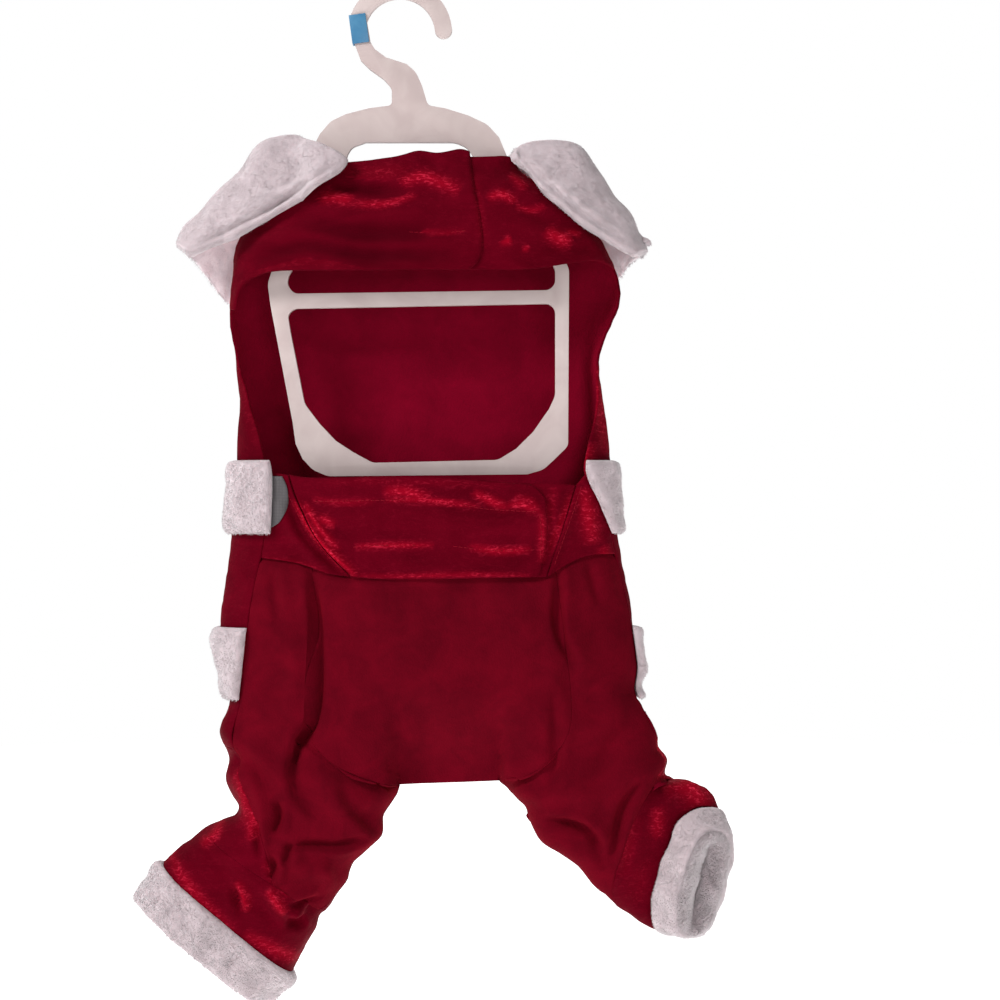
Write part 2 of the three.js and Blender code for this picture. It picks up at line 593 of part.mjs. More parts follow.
collarPiece('collar_back', {
  top: [...RIDGE_LEFT, ...xz([[-33, -91.3], [-26.4, -96], [0, -99.6], [30, -98.5], [49.5, -93]]), ...RIDGE_RIGHT],
  bottom: xz([[-85, -173.5], [-55, -180], [15, -183], [80, -176], [100, -167]]),
  left: xz([[-119.9, -137], [-113.9, -144], [-108.4, -151.3], [-101.8, -160.6], [-95.7, -166.7], [-85, -173.5]]),
  right: xz([[133, -141.4], [127, -144.7], [122, -151.8], [115, -158], [100, -167]]),
}, [...RIDGE_LEFT, ...xz([[-30, -92], [5, -99.6], [45, -94]]), ...RIDGE_RIGHT], 8, 32, true);

// ----- hanger: one flat moulding with its hook, yoke, frame, cross bar and corner webs -----
const HANGER_LEFT = xz([[-24.7, -25.5], [-21.5, -34.1], [-16.5, -39], [-8.8, -44.5], [-4.4, -49.5], [-4.4, -58.9],
  [-17, -60.5], [-29.7, -63.8], [-38, -67.7], [-44, -74.8], [-46.8, -80.3], [-51.7, -95], [-72.6, -156.8],
  [-71, -168.9], [-62.7, -212.9], [-58.9, -232.7], [-57.2, -244.8], [-53.4, -253], [-47.9, -259], [-39.6, -262.6]]);
const HANGER_RIGHT = xz([[70, -261.5], [78.7, -259], [84.2, -254], [92.4, -246], [92.9, -148.5], [62.2, -95],
  [58.3, -85.8], [54.5, -76.5], [47.9, -69.3], [37.4, -64.4], [24.8, -60.5], [15.4, -58.9], [12.1, -47.9],
  [8.8, -40.7], [3.9, -36.3], [-7.7, -32.5], [-13.8, -28], [-16.2, -24]]);
const UPPER_WINDOW = xz([[-28.6, -85.8], [-26.4, -82], [-18.7, -79.2], [30.3, -79.2], [36.9, -82], [41.8, -89],
  [85.3, -148.5], [85.3, -157], [82, -160.4], [-58, -162.3], [-61.6, -158], [-61.6, -154], [-30.5, -93]]);
const LOWER_WINDOW = xz([[-58, -170.5], [82, -167.8], [85.3, -171], [85.3, -218.4], [82, -225.5], [73.2, -238.2],
  [63.8, -247.5], [53.9, -253.6], [-14.9, -255.2], [-25.9, -249.2], [-35.2, -243.1], [-44, -233.8],
  [-52.3, -222.8], [-60, -183.7], [-61.6, -174]]);

function hangerGeometry() {
  const outer = HOOK_RADIUS + HOOK_STRIP;
  const middle = HOOK_RADIUS + HOOK_STRIP / 2;
  const [tip, neck] = [HOOK_TIP_ANGLE, HOOK_NECK_ANGLE].map(THREE.MathUtils.degToRad);
  const shape = new THREE.Shape();
  shape.moveTo(outer * Math.cos(neck), -HOOK_RADIUS + outer * Math.sin(neck));
  [...HANGER_LEFT, ...HANGER_RIGHT].forEach(({ x, z }) => shape.lineTo(x, z));
  shape.lineTo(HOOK_RADIUS * Math.cos(neck), -HOOK_RADIUS + HOOK_RADIUS * Math.sin(neck));
  shape.absarc(0, -HOOK_RADIUS, HOOK_RADIUS, neck, tip, true);
  shape.absarc(middle * Math.cos(tip), -HOOK_RADIUS + middle * Math.sin(tip), HOOK_STRIP / 2, tip - Math.PI, tip, false);
  shape.absarc(0, -HOOK_RADIUS, outer, tip, neck, false);
  for (const line of [UPPER_WINDOW, LOWER_WINDOW]) {
    shape.holes.push(new THREE.Path(line.map(({ x, z }) => new THREE.Vector2(x, z))));
  }
  const geometry = new THREE.ExtrudeGeometry(shape, { depth: HANGER_THICK, bevelEnabled: false, curveSegments: 10 });
  geometry.rotateX(Math.PI / 2);
  geometry.translate(0, HANGER_THICK / 2, 0);
  return geometry;
}
add('hanger', 'plastic', hangerGeometry());

// ----- size marker: a plain coloured clip pushed on the hook's neck from outside -----
const MARKER = { top: { x: -27, z: -9.5 }, bottom: { x: -24.85, z: -25.3 }, wall: 0.8, lap: 8.2 };
function markerGeometry() {
  const half = HANGER_THICK / 2 + SEAM;
  const { wall: skin, lap } = MARKER;
  const profile = new THREE.Shape([
    [-SEAM - skin, -half - skin], [lap, -half - skin], [lap, -half], [-SEAM, -half],
    [-SEAM, half], [lap, half], [lap, half + skin], [-SEAM - skin, half + skin],
  ].map(([x, y]) => new THREE.Vector2(x, y)));
  const length = Math.hypot(MARKER.bottom.x - MARKER.top.x, MARKER.bottom.z - MARKER.top.z);
  const geometry = new THREE.ExtrudeGeometry(profile, { depth: length, bevelEnabled: false });
  const lean = Math.atan2(MARKER.bottom.x - MARKER.top.x, MARKER.bottom.z - MARKER.top.z);
  geometry.translate(0, 0, -length);
  geometry.rotateY(lean - Math.PI);
  geometry.translate(MARKER.top.x, 0, MARKER.top.z);
  return geometry;
}
add('size_marker', 'marker', markerGeometry());

export default costume;
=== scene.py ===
"""Looks of a pet santa costume hung on a flat plastic hanger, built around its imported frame.

Sizes are millimetres in the frame's axes: seen from the belly side, +X is to the right, +Z is up
and the belly faces -Y. The origin is the inner crown of the hook. Meshes are written in metres.
"""
import logging
import math
from collections.abc import Callable
from dataclasses import dataclass
from enum import Enum

import bmesh
import bpy
import numpy as np
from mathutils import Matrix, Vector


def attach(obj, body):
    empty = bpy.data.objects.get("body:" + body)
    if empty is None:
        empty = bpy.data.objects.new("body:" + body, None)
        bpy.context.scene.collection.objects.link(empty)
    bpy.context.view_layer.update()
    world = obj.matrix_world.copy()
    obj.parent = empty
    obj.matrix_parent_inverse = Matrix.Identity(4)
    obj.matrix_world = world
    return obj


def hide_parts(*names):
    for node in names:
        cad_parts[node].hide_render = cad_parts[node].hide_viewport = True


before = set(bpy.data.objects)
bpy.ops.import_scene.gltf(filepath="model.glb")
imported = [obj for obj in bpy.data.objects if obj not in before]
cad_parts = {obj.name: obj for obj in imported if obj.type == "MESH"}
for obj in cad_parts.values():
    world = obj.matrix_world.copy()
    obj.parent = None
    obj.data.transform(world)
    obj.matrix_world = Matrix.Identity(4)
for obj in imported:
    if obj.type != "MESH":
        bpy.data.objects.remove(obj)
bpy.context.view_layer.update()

LOG = logging.getLogger("costume")
MM = 0.001
BODY_NAME = "root"
Line = tuple[tuple[float, float], ...]  # rows of x and z in mm

# ---------------------------------------------------------------- sizes shared with the frame
CLOTH = 1.6  # wall of velvet or knit
SEAM = 0.3  # gap that the solids leave at a seam
SEAM_LOOK = 0.02  # sewn seams are drawn closed, with a shallow groove
BAND_LIFT = 0.45  # gap between the coat and the plush bands
FLATTEN = 0.35  # how much an oval section is squared
SPLIT_TOP = -375.0  # the body starts to part into legs
CROTCH_HALF = CLOTH + SEAM / 2
TURN_STEP, DROP_STEP = 0.4, 0.8  # degrees and mm over which the body's slopes are taken
TUFT_SUNK = 0.35  # how far a tuft's root lies under the cloth's face
TUFT_STRAY = 0.16  # how far a tuft leans at random
TUFT_RISE = 0.25  # least share of a tuft's way that leaves the cloth


@dataclass(frozen=True)
class Table:
    """Rows of sizes with named columns, read by a smooth curve through the rows.

    Attributes:
        columns: The columns' names, parted by spaces.
        rows: The rows of numbers.
    """

    columns: str
    rows: tuple[tuple[float, ...], ...]

    def column(self, name: str) -> np.ndarray:
        """The numbers of one column."""
        return np.array([row[self.columns.split().index(name)] for row in self.rows], float)

    def place(self, height: np.ndarray) -> np.ndarray:
        """Fractional row numbers of heights, for a table whose z column falls."""
        return np.interp(-height, -self.column("z"), np.arange(len(self.rows)))

    def read(self, place: np.ndarray, name: str) -> np.ndarray:
        """Reads a column between its rows.

        The value is the Catmull-Rom cubic through the two rows before and the two after.

        Args:
            place: Fractional row numbers.
            name: The column.

        Returns:
            The values, in the shape of place.
        """
        values = self.column(name)
        last = len(values) - 1
        low = np.clip(np.floor(place).astype(int), 0, last - 1)
        t = np.clip(place - low, 0, 1)
        p0, p1, p2, p3 = (values[np.clip(low + k, 0, last)] for k in (-1, 0, 1, 2))
        bend = 2 * p0 - 5 * p1 + 4 * p2 - p3
        return 0.5 * (2 * p1 + (p2 - p0) * t + bend * t**2 + (3 * p1 - p0 - 3 * p2 + p3) * t**3)


BODY = Table("z left right front back", (
    (-88, -55.2, 65, 13, 12), (-95, -55.6, 66.2, 15, 14), (-105, -64, 81, 18, 18),
    (-116, -76, 95, 20, 21), (-125, -83, 104, 21, 23), (-133, -88, 110.5, 22, 25),
    (-144, -91, 116, 23, 27), (-157, -93, 120.5, 24, 28), (-166, -93.7, 120.5, 24, 29),
    (-180, -93.5, 116.5, 24, 30), (-190, -91.5, 112, 24, 30), (-200, -89.3, 109.5, 24, 30),
    (-221, -88.5, 111.5, 24, 30), (-237, -89, 113.5, 24, 30), (-251, -89.5, 115, 24, 29),
    (-262, -90, 116, 24, 28), (-276, -91, 117, 24, 27), (-298, -93, 120, 24, 26),
    (-325, -96.5, 125, 24, 26), (-344, -98.5, 128, 24, 26), (-364, -97, 130, 24, 26),
    (-386, -94.5, 132, 24, 25), (-397, -95, 137, 24, 24), (-408, -95.6, 140.6, 24, 23),
    (-420, -95.5, 143.5, 23, 22), (-440, -94.5, 145, 22, 22),
))
RING = "ax az bx bz vx vy vz forward knit_from knit_to"
LEG_LEFT = Table(RING, (
    (-95.7, -410, -1, -432, 0, -22, 0, 0, 28.4, 178), (-94.5, -424, -8, -448, 0, -24, 0, 0, 36, 178),
    (-92.5, -437, -14, -462, 0, -24, 0, 0, 48, 178), (-93, -448, -27, -478, 0, -24, -2, 0, 68, 176),
    (-107, -456, -39.6, -501, 1, -23, -2, 0, 98, 158),
))
BOOT_LEFT = Table(RING, (
    (-107, -456, -39.6, -501, 1, -23, -2, 0, 0, 0), (-115, -461.5, -46, -508, 0, -23, 0, 0, 0, 0),
    (-121, -466, -50.5, -517, 0, -22, 0, 0, 0, 0), (-130, -475, -59, -534, 0, -21, 0, 0, 0, 0),
))
CUFF_LEFT = Table(RING, (
    (-130, -475, -59, -534, 0, -21, 0, 0, 0, 0), (-138.5, -485.5, -68, -544, 0, -21.5, 0, 0, 0, 0),
    (-145, -494, -75.5, -552, 0, -21, 0, 0, 0, 0),
))
LEG_RIGHT = Table(RING, (
    (140.8, -408, 54.5, -430, 0, -22, 0, 0, 14, 178), (144.5, -417, 67, -442, 0, -24, 0, 0, 16, 178),
    (146.5, -424.5, 74, -454, -3, -24, 0, 0, 20, 178), (147, -427.5, 91, -470, -8, -23, 0, 0, 24, 168),
    (147.5, -429, 124, -500, -14, -20, 0, 0, 32, 150),
))
BOOT_RIGHT = Table(RING, (
    (147.5, -429, 124, -500, -14, -20, 0, 0, 0, 0), (156, -429.5, 130, -504, -15, -18, 1, 0, 0, 0),
    (164, -433.5, 139, -510, -16, -15, 2, 0, 0, 0), (169.5, -444, 149, -514, -16, -11, 4, 0, 0, 0),
))
CUFF_RIGHT = Table(RING, (
    (168.5, -446, 150, -512, -15, -10.3, 3.7, 1, 0, 0), (170.5, -451, 154, -512, -13.5, -9.4, 3.5, 9, 0, 0),
    (172, -456, 158, -511, -11, -8, 3, 17, 0, 0),
))
# How far the back panels turn round each side to the front, in degrees of the body's oval.
COAT_EDGES = Table("z left right", (
    (-95, 0, 0), (-172, 0, 0), (-185, 2.5, 0), (-199, 7, 3), (-215, 15, 11), (-221, 18, 14),
    (-237, 27, 23), (-253, 33, 30), (-262, 35, 30.6), (-276, 35.6, 24), (-298, 35.4, 14.5),
    (-330, 32.5, 11.2), (-352, 30.2, 7.6), (-381, 22.5, 4.5), (-410.5, 17.7, 6.7),
))

# ---------------------------------------------------------------- folds
@dataclass(frozen=True)
class Fold:
    """A soft trough in the cloth along a curve.

    Attributes:
        points: The curve's x and z in mm, walked with the fold's swell on the left hand.
        width: Half width of the trough in mm.
        depth: Depth in mm. A negative depth is a ridge.
        pucker: Height in mm of the ripples that a seam gathers along it.
        painted_light: Painted light along it, up to 1. Above 0 it is a painted sheen with painted highlights;
            below 0 it is painted shade in its trough.
    """

    points: Line
    width: float
    depth: float
    pucker: float = 0.0
    painted_light: float = 0.0


# The fifth number of a fold is its painted light: a painted sheen with painted highlights above 0, painted
# shade in the trough below 0.
FRONT_FOLDS = (
    # chest band
    Fold(((-43, -112.5), (-34, -111.5), (-24, -114)), 2.2, -1.2, 0.2, 1.0),
    Fold(((-26, -114.5), (-8, -115.5), (10, -111)), 1.6, -1.0, 0.2, 0.6),
    Fold(((-36, -104), (-18, -107), (4, -108)), 2.4, 2.4, 0.0, -0.5),
    Fold(((-30, -98), (-12, -99), (8, -97)), 4.0, -0.7, 0.2, 0.22),
    Fold(((0, -105), (14, -101), (34, -109)), 2.6, -1.0, 0.5, 0.75),
    Fold(((48, -112), (56, -110), (64, -114)), 1.8, -0.8, 0.2, 0.9),
    Fold(((63, -116), (72, -118), (80, -116)), 1.2, -0.6, 0.2, 0.6),
    Fold(((60, -98), (64, -101), (69, -107)), 2.0, -0.7, 0.3, 0.5),
    Fold(((80, -129), (88, -134), (94, -134)), 3.0, -0.8, 0.3, 0.95),
    Fold(((91, -130), (96, -130), (99, -132)), 1.6, -0.5, 0.2, 0.7),
    Fold(((56.5, -134.5), (58.5, -135.5), (60.5, -134.5)), 1.8, -0.5, 0.0, 1.0),
    Fold(((67, -139), (69, -140), (70, -141)), 1.2, -0.3, 0.0, 0.7),
    Fold(((60, -110), (78, -122), (104, -131)), 4.0, 2.0),
    Fold(((-56, -122), (-24, -131), (16, -131)), 4.2, 2.8, 0.0, -0.55),
    Fold(((-80, -147), (-50, -138), (-18, -143), (30, -143)), 3.4, 2.4, 0.0, -0.6),
    Fold(((-84, -155), (-60, -147), (-10, -148.5)), 2.4, 0.8, 0.0, 0.1),
    Fold(((7, -130.8), (22, -131.6), (36, -130.6)), 0.9, 0.5, 0.3, 0.35),
    Fold(((40.5, -98), (43.5, -118), (46, -140)), 1.4, 0.5, 0.1, 0.16),
    Fold(((-80, -130), (-60, -122), (-44, -118)), 4.0, 1.0),
    Fold(((-6, -88), (3, -92), (10, -98)), 3.0, 0.8),
    Fold(((12, -88), (18, -92), (24, -97)), 2.6, 0.8),
    Fold(((72, -146), (90, -140), (108, -138)), 3.0, 1.0),
    # sides of the chest opening
    Fold(((-86, -190), (-85, -215), (-76, -245)), 3.0, 1.0, 0.2, 0.1),
    Fold(((104, -190), (102, -218), (92, -246)), 3.0, 1.0, 0.2, 0.1),
    Fold(((104, -244), (100, -256), (94, -266)), 3.2, -0.8, 0.5, 0.55),
    Fold(((108, -200), (110, -226), (113, -250)), 3.0, 0.8, 0.4, 0.4),
    # belly strap
    Fold(((-47, -275), (-30, -277), (-12, -276)), 1.2, 0.8, 0.5, 0.4),
    Fold(((-8, -275), (18, -276), (44, -279)), 1.2, 0.9, 0.6, 0.75),
    Fold(((-8, -271), (4, -271), (18, -275)), 2.2, -0.7, 0.3, 0.8),
    Fold(((40, -271), (50, -276), (60, -280)), 1.8, -0.8, 0.4, 0.8),
    Fold(((58, -279), (66, -278), (76, -282)), 1.6, -0.6, 0.3, 0.7),
    Fold(((62, -274), (72, -277), (77, -284)), 1.6, -0.7, 0.3, 0.45),
    Fold(((77, -280), (78, -292), (77.5, -310)), 1.8, -0.8, 0.4, 0.5),
    Fold(((-24, -301), (-8, -300), (20, -300)), 1.2, 0.8, 0.5, 0.7),
    Fold(((38, -300.5), (52, -303), (72, -302.5)), 1.4, 0.8, 0.5, 0.8),
    Fold(((-56, -275), (-47, -291), (-34, -306), (-21, -317)), 1.7, -3.0, 0.3, 1.0),
    Fold(((-51, -277), (-43, -290), (-32, -303)), 1.5, -2.4, 0.3, 0.85),
    Fold(((-26, -317), (-40, -306), (-53, -292), (-60, -274)), 2.4, 3.4),
    Fold(((-44, -286), (-39, -287), (-34, -290)), 1.8, -0.8, 0.2, 0.7),
    Fold(((-26, -316.2), (0, -316.6), (40, -315.6), (72, -316.4)), 1.0, -0.5, 0.3, 0.42),
    Fold(((94, -271), (88, -287), (80, -306)), 1.8, 1.8, 0.4, 0.45),
    Fold(((84, -268), (82, -284), (81, -300)), 2.2, 1.2, 0.2, 0.2),
    Fold(((100, -268), (103, -284), (106, -300)), 3.4, -0.8, 0.6, 0.75),
    Fold(((111, -300), (114, -312), (119, -334)), 2.4, -0.5, 0.5, 0.8),
    Fold(((-75, -308), (-56, -309.5), (-38, -315)), 1.3, -0.7, 0.2, 0.2),
    Fold(((-44, -266), (0, -265.5), (60, -268)), 1.6, -0.5, 0.2, 0.12),
    Fold(((-64, -296), (-56, -300), (-48, -306)), 4.0, 0.9),
    # belly panel
    Fold(((-34, -322.5), (-10, -324), (20, -323), (72, -322)), 2.4, 1.4),
    Fold(((76, -320), (79, -345), (72, -384)), 6.0, 1.5),
    Fold(((56, -395), (64, -412), (74, -424)), 5.0, 1.3),
    Fold(((-4, -408), (-4.5, -416), (-5, -424)), 2.2, 1.6),
    Fold(((8, -376), (14, -396), (10, -420)), 6.0, 0.9),
    # left trouser leg
    Fold(((-44, -447), (-54, -434), (-57, -420), (-53, -406), (-46, -394), (-43, -378), (-44, -350),
          (-46.5, -312)), 2.7, 7.0),
    Fold(((-60, -392), (-54, -380), (-53, -350)), 8.0, -3.0),
    Fold(((-68, -313), (-67, -326), (-65, -342)), 3.0, 2.2),
    Fold(((-52, -344), (-64, -354), (-74, -363)), 4.0, -0.9),
    Fold(((-86, -414), (-78, -420), (-70, -432)), 3.4, 2.7),
    Fold(((-66, -438), (-64, -446), (-67, -455)), 2.0, 5.7),
    Fold(((-76, -448), (-76, -458), (-75, -468)), 2.0, 4.6),
    Fold(((-69, -468), (-67, -474), (-69, -480)), 2.2, 5.4),
    Fold(((-18, -458.5), (-34, -462), (-52, -461), (-61, -464)), 2.0, 4.9),
    Fold(((-60, -460), (-59, -465), (-62, -472)), 2.2, 4.1),
    Fold(((-10, -460), (-17, -450), (-26, -440), (-31, -430)), 3.0, 3.8),
    Fold(((-42, -420), (-36, -432), (-28, -444)), 7.0, -3.5),
    Fold(((-58, -474), (-46, -476), (-34, -474)), 6.0, -3.5),
    Fold(((-58, -496), (-50, -494), (-42, -492)), 2.6, 6.2),
    Fold(((-61, -503), (-56, -505), (-50, -504)), 2.6, 5.7),
    Fold(((-80, -424), (-74, -440), (-72, -460)), 3.6, -2.4),
    Fold(((-86, -420), (-84, -436), (-80, -452)), 3.0, -0.4, 0.5, 0.5),
    Fold(((-72, -470), (-64, -482), (-58, -490)), 2.6, -0.6, 0.4, 0.3),
    # left boot
    Fold(((-87, -481), (-83, -490), (-82, -498)), 1.8, -3.0, 0.3, 0.7),
    Fold(((-85, -500), (-87, -490), (-88, -484)), 2.2, 3.5),
    Fold(((-70, -485), (-66, -491), (-61, -499)), 2.0, -3.0, 0.3, 0.8),
    Fold(((-76, -488), (-71, -498), (-66, -506)), 3.2, 2.2),
    Fold(((-108, -463), (-100, -457), (-97, -450)), 2.2, -0.8, 0.3, 0.6),
    Fold(((-43, -470), (-38, -480), (-38, -488)), 3.0, -1.9, 0.4, 0.9),
    Fold(((-128, -466), (-112, -486), (-88, -512)), 2.6, 0.7, 0.5, 0.5),
    Fold(((-84, -510), (-66, -520), (-52, -528)), 2.6, 0.7, 0.5, 0.55),
    Fold(((-80, -438), (-78, -448), (-79, -460)), 2.4, -0.6, 0.4, 0.6),
    Fold(((-104, -470), (-94, -476), (-92, -486)), 5.0, 1.9),
    # right trouser leg
    Fold(((87, -312), (86, -332), (88, -350), (96, -366)), 2.6, 4.9),
    Fold(((84, -378), (85, -400), (84, -424), (78, -436)), 3.0, 3.0),
    Fold(((94, -338), (98, -360), (104, -372)), 7.0, -1.9),
    Fold(((103, -308), (106, -320), (109, -332)), 3.0, 2.4),
    Fold(((100, -376), (104, -384), (104, -396)), 6.0, 2.2),
    Fold(((130, -394), (116, -408), (108, -424)), 5.0, 2.6),
    Fold(((80, -449), (92, -450), (103, -455), (109, -464)), 2.4, 6.5),
    Fold(((104, -458), (108, -464), (110, -474)), 3.0, 3.0),
    Fold(((131, -427), (122, -441), (118, -456), (114, -472)), 2.6, 5.7),
    Fold(((92, -430), (100, -436), (108, -440)), 8.0, -3.2),
    Fold(((84, -458), (92, -462), (100, -472)), 5.0, -2.2),
    Fold(((126, -382), (132, -390), (136, -402)), 4.0, -1.0),
    # right boot
    Fold(((142, -404), (142, -410), (141, -420)), 3.0, -0.6, 0.5, 0.9),
    Fold(((142, -430), (152, -428), (162, -434), (168, -446)), 5.5, -0.5, 0.5, 0.9),
    Fold(((140, -442), (141, -450), (140, -460)), 3.0, -0.4, 0.4, 0.5),
    Fold(((128, -446), (124, -462), (122, -480)), 3.0, 1.2, 0.3, 0.2),
    Fold(((134, -470), (130, -484), (130, -496)), 5.0, 1.0, 0.2, 0.1),
)
BACK_FOLDS = (
    Fold(((-70, -190), (-20, -196), (30, -190)), 7, 1.6, 0.3, 0.15),
    Fold(((0, -206), (50, -212), (96, -204)), 7, 1.5, 0.3, 0.15),
    Fold(((-80, -228), (-40, -236), (10, -232)), 8, 1.8, 0.3, 0.2),
    Fold(((40, -236), (70, -244), (100, -240)), 7, 1.4, 0.3, 0.15),
    Fold(((-76, -300), (-40, -312), (0, -308)), 7, 1.8, 0.3, 0.2),
    Fold(((20, -304), (60, -316), (108, -306)), 7, 1.7, 0.3, 0.2),
    Fold(((-84, -330), (-50, -326), (-10, -334)), 6, 1.2, 0.3, 0.15),
    Fold(((40, -332), (80, -328), (116, -334)), 6, 1.2, 0.3, 0.15),
    Fold(((-20, -214), (-8, -222), (-14, -246)), 5, -0.8, 0.2, 0.4),
    Fold(((70, -186), (78, -196), (74, -216)), 5, -0.8, 0.2, 0.4),
    Fold(((-62, -318), (-50, -322), (-30, -318)), 3, -0.8, 0.2, 0.5),
    Fold(((-60, -388), (-56, -400), (-60, -416)), 5, 2.2, 0.3, 0.2),
    Fold(((0, -388), (10, -402), (20, -420)), 6, 2.0, 0.3, 0.2),
    Fold(((88, -388), (94, -402), (96, -416)), 5, 2.2, 0.3, 0.2),
    Fold(((40, -392), (46, -402), (40, -420)), 5, 1.6, 0.3, 0.2),
    Fold(((-90, -440), (-66, -452), (-30, -446)), 4, 3.0, 0.4, 0.3),
    Fold(((-88, -462), (-70, -470), (-40, -476)), 4, 2.8, 0.4, 0.3),
    Fold(((-96, -476), (-76, -490), (-56, -500)), 4, 2.2, 0.4, 0.3),
    Fold(((-108, -474), (-96, -494), (-76, -512)), 4, 1.6, 0.4, 0.3),
    Fold(((80, -440), (104, -446), (138, -436)), 4, 3.0, 0.4, 0.3),
    Fold(((92, -462), (112, -466), (140, -452)), 4, 2.6, 0.4, 0.3),
    Fold(((112, -488), (126, -478), (142, -462)), 4, 2.0, 0.4, 0.3),
)
# Dents that show in the outline, where cloth is drawn in between two bulges.
NOTCHES = Table("x z radius depth", (
    (-97, -385, 8, 2.0), (-94, -402, 8, -3.4), (-90, -417, 5, 4.2), (-93, -430, 6, -1.6),
    (-92, -444, 5, 3.2), (-15, -447, 6, 3.0), (-11, -458, 8, -3.2), (-27, -474, 6, 1.6),
    (-4, -434, 8, -1.6), (129, -379, 7, 2.0), (138, -404, 8, -1.4), (142, -411, 4, 1.2),
    (145, -418, 5, -1.8), (144, -427, 4, 2.6), (69, -434, 6, -2.0), (72, -442, 4, 1.2),
    (80, -460, 9, -3.0), (96, -478, 8, 1.6), (-46, -500, 5, 6.5), (-44, -512, 7, -1.8),
    (-30, -484, 6, -1.4), (116, -492, 6, 1.2),
))


def smooth(share: np.ndarray) -> np.ndarray:
    """Eases 0..1: three times the square less twice the cube."""
    held = np.clip(share, 0, 1)
    return held * held * (3 - 2 * held)


def soft_noise(points: np.ndarray, wavelength: float, seed: int) -> np.ndarray:
    """Even waves in space: the sum of sines along seeded directions, about -1 to 1.

    Args:
        points: Places in mm, last axis x, y, z.
        wavelength: The usual distance between crests in mm.
        seed: Picks the directions.

    Returns:
        One number a point.
    """
    random = np.random.default_rng(seed)
    directions = random.normal(size=(14, 3))
    directions *= (random.uniform(0.6, 1.5, 14) / np.linalg.norm(directions, axis=1))[:, None]
    phases = random.uniform(0, 2 * math.pi, 14)
    return np.sin(points @ directions.T * (2 * math.pi / wavelength) + phases).sum(-1) / 4.2


@dataclass(frozen=True)
class Reach:
    """How points lie to one curve: signed distance, share of its length and arc length."""

    distance: np.ndarray
    share: np.ndarray
    arc: np.ndarray


def reach_curve(x: np.ndarray, z: np.ndarray, curve: np.ndarray) -> Reach:
    """Measures points to a polyline: the nearest point over all its straight steps.

    Args:
        x: Points' x, flat.
        z: Points' z, flat.
        curve: The polyline, rows of x and z.

    Returns:
        The signed distance (positive on the left of the way walked) and place along the curve.
    """
    start, step = curve[:-1], np.diff(curve, axis=0)
    length = np.linalg.norm(step, axis=1)
    to_x, to_z = x[:, None] - start[:, 0], z[:, None] - start[:, 1]
    share = np.clip((to_x * step[:, 0] + to_z * step[:, 1]) / length**2, 0, 1)
    off_x, off_z = to_x - share * step[:, 0], to_z - share * step[:, 1]
    square = off_x**2 + off_z**2
    nearest = square.argmin(1)
    pick = (np.arange(len(x)), nearest)
    side = np.sign(step[nearest, 0] * off_z[pick] - step[nearest, 1] * off_x[pick])
    arc = np.concatenate([[0], np.cumsum(length)])[nearest] + share[pick] * length[nearest]
    return Reach(np.sqrt(square[pick]) * side, arc / length.sum(), arc)


@dataclass(frozen=True)
class Relief:
    """Heights that folds give the cloth, and the painted sheen and painted shade that go with them."""

    height: np.ndarray
    painted_light_amount: np.ndarray


def fold_relief(x: np.ndarray, z: np.ndarray, folds: tuple[Fold, ...]) -> Relief:
    """Heights of folds at points seen from the front.

    Across a fold the height is minus a bell curve, plus 0.45 of a wider bell on its left. Along
    it the height swells and fades as a sine. Puckers are ripples along the fold inside a wide
    bell, and the painted light, painted sheen above 0 and painted shade below 0, is a bell of its own.

    Args:
        x: Points' x.
        z: Points' z.
        folds: The folds.

    Returns:
        The heights and the painted light, in the shape of x.
    """
    flat_x, flat_z = x.ravel(), z.ravel()
    height, painted_light_amount = np.zeros(flat_x.size), np.zeros(flat_x.size)
    for fold in folds:
        curve, wide = rounded_line(fold.points, 6), fold.width
        low, high = curve.min(0) - 5 * wide, curve.max(0) + 5 * wide
        near = (flat_x > low[0]) & (flat_x < high[0]) & (flat_z > low[1]) & (flat_z < high[1])
        if not near.any():
            continue
        reach = reach_curve(flat_x[near], flat_z[near], curve)
        fade = np.sin(math.pi * np.clip(reach.share, 0.0, 1.0)) ** 0.5
        bell = np.exp(-((reach.distance / wide) ** 2))
        swell = np.exp(-(((reach.distance - 1.9 * wide) / (1.4 * wide)) ** 2))
        ripple = np.sin(2 * math.pi * (reach.arc / 5.3 + 0.35 * np.sin(reach.arc / 2.7)))
        band = np.exp(-((reach.distance / (2.2 * wide)) ** 2))
        height[near] += fold.depth * fade * (0.45 * swell - bell)
        height[near] += 0.45 * fold.pucker * ripple * band * fade
        # Painted light of this fold: a painted sheen on it above 0, painted shade in its trough below 0.
        painted_here = fold.painted_light * fade * np.exp(-((reach.distance / (1.3 * wide)) ** 2))
        painted_light_amount[near] = np.where(np.abs(painted_here) > np.abs(painted_light_amount[near]), painted_here, painted_light_amount[near])
    return Relief(height.reshape(x.shape), painted_light_amount.reshape(x.shape))


